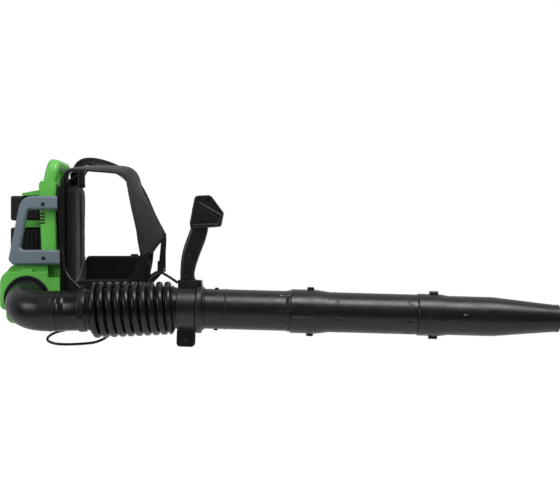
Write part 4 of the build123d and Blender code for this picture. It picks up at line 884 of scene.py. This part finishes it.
def lumbar_frames(steps=20):
    """Middle, across and through of the belt where it crosses the front of the pad."""
    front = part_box("back_pad")[1].x
    right, left = [sum(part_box("hip_belt_" + side_name), Vector()).z / 2 for side_name, _ in SIDES]
    frames = []
    for step in range(steps + 1):
        share = step / steps
        eased = share * share * (3 - 2 * share)
        lean = 2 * share - 1
        ahead = front + LUMBAR_STAND - LUMBAR_FALL * lean**LUMBAR_FALL_POWER
        place = Vector((ahead, BELT_OUT * lean, right + (left - right) * eased))
        frames.append((place, Vector((0, 0, LUMBAR_HEIGHT / 2)), Vector((LUMBAR_THICKNESS / 2, 0, 0))))
    return frames


def padded_piece(name, frames, cloth, replaced=None):
    """A padded form with bound edges, carried by the body."""
    piece = rounded(sleeve(name, frames, STRAP_SECTION, [cloth, "binding"], BINDING_SHARE))
    seated(piece, "chassis", replaced)


def stitches(name, frames, stand):
    """Rows of thread laid along the edges of a padded form, on the side that stands out."""
    size = Matrix.Diagonal((*STITCH_SIZE, 1))
    bm = bmesh.new()
    for share in SEAM_SHARES:
        line = [middle + across * share + through * stand for middle, across, through in frames]
        spare = 0.0
        for index in range(len(line) - 1):
            step = line[index + 1] - line[index]
            along = step.normalized()
            across = frames[index][1].normalized()
            turn = Matrix((along, across, along.cross(across))).transposed().to_4x4()
            travel = spare
            while travel < step.length:
                place = Matrix.Translation(line[index] + along * travel)
                bmesh.ops.create_cube(bm, size=1.0, matrix=place @ turn @ size)
                travel += STITCH_PITCH
            spare = travel - step.length
    seated(finished(name, bm, ["thread"]), "chassis")


def webbing(name, route, width, across=None, through=None, replaced=None):
    """Flat webbing along a route, held at both ends, whose across or through is given."""
    frames = []
    for index, place in enumerate(route):
        along = (route[min(index + 1, len(route) - 1)] - route[max(index - 1, 0)]).normalized()
        flat = through.cross(along).normalized() if across is None else across
        stand = along.cross(flat).normalized()
        frames.append((place, flat * width / 2, stand * WEB_THICKNESS / 2))
    piece = sleeve(name, frames, WEB_SECTION, ["black_webbing"])
    seated(piece, "chassis", replaced)


def beside(place, side, guide):
    """A place moved ahead, outward and up by a guide in millimetres."""
    ahead, out, up = guide
    return place + Vector((ahead, side * out, up)) * MM


def adjusting_route(strap_rows, side):
    """The adjusting web's way from inside the strap's end to the foot of the pad."""
    top = strap_rows[-1][0] + WEB_TUCK
    out = side * WEB_OUT
    guides = [Vector((ahead * MM, out, up * MM)) for ahead, up in WEB_GUIDES]
    return smooth_route([Vector((top.x, out, top.z))] + guides)


def load_route(side_name):
    """The load strap's way from the shoulder strap down into the pad."""
    low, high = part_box("load_strap_" + side_name)
    out = (low.y + high.y) / 2
    top = Vector((high.x, out, high.z))
    foot = Vector((low.x, out, low.z))
    foot += (foot - top).normalized() * LOAD_TUCK
    return [top.lerp(foot, step / LOAD_STEPS) for step in range(LOAD_STEPS + 1)]


def tail_route(side_name, side, strap_rows):
    """The tail's way from the strap's tip through the ladder lock and back along the adjusting web."""
    low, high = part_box("ladder_lock_" + side_name)
    foot = Vector(((low.x + high.x) / 2, (low.y + high.y) / 2, low.z))
    tip_middle, tip_across, _ = strap_rows[-1 - STRAP_TIP_ROWS * STRAP_STEPS]
    tip = tip_middle - tip_across * TAIL_CORNER
    web_face = Vector((foot.x, side * (WEB_OUT + TAIL_STAND), foot.z))
    guides = [beside(tip, side, TAIL_TIP_GUIDE)]
    guides.append(beside(Vector((foot.x, foot.y, tip.z)), side, TAIL_HANG_GUIDE))
    guides += [beside(foot, side, guide) for guide in TAIL_LOCK_GUIDES]
    guides += [beside(web_face, side, guide) for guide in TAIL_WEB_GUIDES]
    return smooth_route(guides)


for side_name, side in SIDES:
    strap_rows = strap_frames(side_name, side)
    belt_rows = belt_frames(side_name, side)
    padded_piece("strap_root_" + side_name, root_frames(side_name, side), "black_fabric")
    padded_piece("strap_" + side_name, strap_rows, "strap_cloth", "shoulder_strap_" + side_name)
    padded_piece("belt_" + side_name, belt_rows, "belt_cloth", "hip_belt_" + side_name)
    stitches("strap_thread_" + side_name, strap_rows, SEAM_STAND)
    stitches("belt_thread_" + side_name, belt_rows, -SEAM_STAND)
    webbing("web_" + side_name, adjusting_route(strap_rows, side), WEB_WIDTH, through=LEFTWARD,
            replaced="strap_web_" + side_name)
    webbing("load_" + side_name, load_route(side_name), LOAD_WIDTH, across=LEFTWARD,
            replaced="load_strap_" + side_name)
    webbing("lock_web_" + side_name, tail_route(side_name, side, strap_rows), TAIL_WIDTH, through=LEFTWARD)
padded_piece("belt_middle", lumbar_frames(), "belt_cloth")


# Back pad: a cushion swollen by its filling, then sewn down its middle channel

PAD_INSET = Vector((3.0, 3.0, 0)) * MM
PAD_CORNER = 28 * MM
PAD_FRONT_ROUND = 10 * MM
PAD_VOXEL = 5.0 * MM
PAD_PRESSURE = 4
PAD_FRAMES = 20
PAD_CAP = 6.0 * MM
PAD_REAR_GAP = 0.2 * MM
CHANNEL_DEPTH = 7 * MM
CHANNEL_HALF_WIDTH = 15 * MM
CHANNEL_MIDDLE = 222 * MM
CHANNEL_REACH = 140 * MM
CHANNEL_FADE = 14 * MM
CHANNEL_FRONT = 10 * MM
FRONT_REACH = 0.1 * MM


def pad_block(low, high):
    """The pad before it is filled: a block with round corners and a round front edge."""
    bm = bmesh.new()
    bmesh.ops.create_cube(bm, size=1.0)
    bmesh.ops.scale(bm, verts=bm.verts, vec=high - low)
    bmesh.ops.translate(bm, verts=bm.verts, vec=(low + high) / 2)
    corners = [edge for edge in bm.edges
               if abs((edge.verts[0].co - edge.verts[1].co).normalized().x) > 0.9]
    rounded_edges(bm, corners, PAD_CORNER, segments=6)
    front = [edge for edge in bm.edges if min(vert.co.x for vert in edge.verts) > high.x - FRONT_REACH]
    rounded_edges(bm, front, PAD_FRONT_ROUND, segments=4)
    return finished("back_cushion", bm, ["black_fabric"])


def swell(piece):
    """Fills a closed cover: an even mesh, pressed outward as cloth, no point moved past the cap."""
    even = piece.modifiers.new("even", "REMESH")
    even.mode = "VOXEL"
    even.voxel_size = PAD_VOXEL
    piece.data = evaluated_copy(piece)
    piece.modifiers.clear()
    start = [vertex.co.copy() for vertex in piece.data.vertices]
    cover = piece.modifiers.new("cover", "CLOTH")
    cover.settings.use_pressure = True
    cover.settings.uniform_pressure_force = PAD_PRESSURE
    cover.settings.effector_weights.gravity = 0
    cover.point_cache.frame_start = 1
    cover.point_cache.frame_end = PAD_FRAMES
    for step in range(1, PAD_FRAMES + 1):
        bpy.context.scene.frame_set(step)
    filled = evaluated_copy(piece)
    piece.modifiers.clear()
    bpy.context.scene.frame_set(1)
    for vertex, here, there in zip(piece.data.vertices, start, filled.vertices):
        move = there.co - here
        vertex.co = here + move * min(1.0, PAD_CAP / max(move.length, 1e-9))


def sewn(piece, low, high):
    """Keeps a cushion in its box and draws its front in along the middle channel."""
    for vertex in piece.data.vertices:
        place = vertex.co
        place.x = max(place.x, low.x + PAD_REAR_GAP)
        place.y = min(max(place.y, low.y), high.y)
        place.z = min(max(place.z, low.z), high.z)
        middle = max(0.0, 1 - (place.y / CHANNEL_HALF_WIDTH) ** 2)
        ends = max(0.0, min(1.0, (CHANNEL_REACH - abs(place.z - CHANNEL_MIDDLE)) / CHANNEL_FADE))
        if place.x > low.x + CHANNEL_FRONT:
            place.x -= CHANNEL_DEPTH * middle**2 * ends


pad_low, pad_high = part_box("back_pad")
cushion = pad_block(pad_low + PAD_INSET, pad_high - PAD_INSET)
swell(cushion)
sewn(cushion, pad_low, pad_high)
cushion.data.materials.clear()
cushion.data.materials.append(finishes["black_fabric"])
cushion.data.shade_smooth()
seated(rounded(cushion), "chassis", "back_pad")


# Floor, light and camera

FLOOR_PLACE = (0.6, 0, -0.80)
FLOOR_RADIUS = 2.2
FLOOR_LIFT = 0.6
BACKDROP_EDGES = (-0.25, 0.5)
BACKDROP_LEVELS = (0.12, 0.8)
CAMERA_PLACE = (0.6754, -3.405, 0.1905)
CAMERA_LENS = 79.1
CAMERA_SENSOR = 36


def pale_floor():
    """A wide white floor, far below because the blower is shown as worn.

    The camera sees it lifted to white, and it still darkens in the blower's shadow.
    """
    bm = bmesh.new()
    bmesh.ops.create_circle(bm, cap_ends=True, segments=64, radius=FLOOR_RADIUS)
    bmesh.ops.translate(bm, verts=bm.verts, vec=FLOOR_PLACE)
    tree, shader, coords = new_finish("floor_paint", grey(0.92), 0.8)
    patches = noise(tree, coords.outputs["Object"], 0.6, detail=2.0)
    tree.links.new(tint(tree, patches, grey(0.91), grey(0.93)), shader.inputs["Base Color"])
    path = tree.nodes.new("ShaderNodeLightPath")
    lift = tree.nodes.new("ShaderNodeMath")
    lift.operation = "MULTIPLY"
    lift.inputs[1].default_value = FLOOR_LIFT
    tree.links.new(path.outputs["Is Camera Ray"], lift.inputs[0])
    tree.links.new(lift.outputs["Value"], shader.inputs["Emission Strength"])
    shader.inputs["Emission Color"].default_value = (1, 1, 1, 1)
    finished("floor", bm, ["floor_paint"])


def softbox(name, place, aim, size, power):
    """A soft light at a place, turned to an aim; its size is along X and across."""
    lamp = bpy.data.lights.new(name, "AREA")
    lamp.shape = "RECTANGLE"
    lamp.size, lamp.size_y = size
    lamp.energy = power
    holder = bpy.data.objects.new(name, lamp)
    holder.location = place
    holder.rotation_euler = (Vector(aim) - Vector(place)).to_track_quat("-Z", "Y").to_euler()
    bpy.context.collection.objects.link(holder)


def white_world():
    """A studio surround: white to the camera, bright behind the blower and dim on the camera's side."""
    world = bpy.data.worlds.new("surround")
    bpy.context.scene.world = world
    world.use_nodes = True
    tree = world.node_tree
    tree.nodes.clear()
    output = tree.nodes.new("ShaderNodeOutputWorld")
    surround = tree.nodes.new("ShaderNodeBackground")
    surround.inputs["Color"].default_value = (1, 1, 1, 1)
    coords = tree.nodes.new("ShaderNodeTexCoord")
    parts = tree.nodes.new("ShaderNodeSeparateXYZ")
    tree.links.new(coords.outputs["Generated"], parts.inputs["Vector"])
    backdrop = tree.nodes.new("ShaderNodeMapRange")
    backdrop.interpolation_type = "SMOOTHSTEP"
    backdrop.inputs["From Min"].default_value = BACKDROP_EDGES[0]
    backdrop.inputs["From Max"].default_value = BACKDROP_EDGES[1]
    backdrop.inputs["To Min"].default_value = BACKDROP_LEVELS[0]
    backdrop.inputs["To Max"].default_value = BACKDROP_LEVELS[1]
    tree.links.new(parts.outputs["Y"], backdrop.inputs["Value"])
    path = tree.nodes.new("ShaderNodeLightPath")
    strength = worked(tree, backdrop.outputs["Result"], path.outputs["Is Camera Ray"], "MAXIMUM")
    tree.links.new(strength, surround.inputs["Strength"])
    tree.links.new(surround.outputs["Background"], output.inputs["Surface"])


pale_floor()
white_world()
softbox("key", place=(1.45, -1.5, 2.9), aim=(1.0, -0.1, 0.2), size=(2.4, 1.2), power=135)
softbox("side", place=(-2.2, -2.0, 1.3), aim=(0.1, 0.0, 0.2), size=(1.2, 1.2), power=40)

camera = bpy.data.cameras.new("camera")
camera.sensor_width = CAMERA_SENSOR
camera.lens = CAMERA_LENS
camera_holder = bpy.data.objects.new("camera", camera)
camera_holder.location = CAMERA_PLACE
camera_holder.rotation_euler = (math.radians(90), 0, 0)
bpy.context.collection.objects.link(camera_holder)
bpy.context.scene.camera = camera_holder
bpy.context.scene.view_settings.view_transform = "Standard"
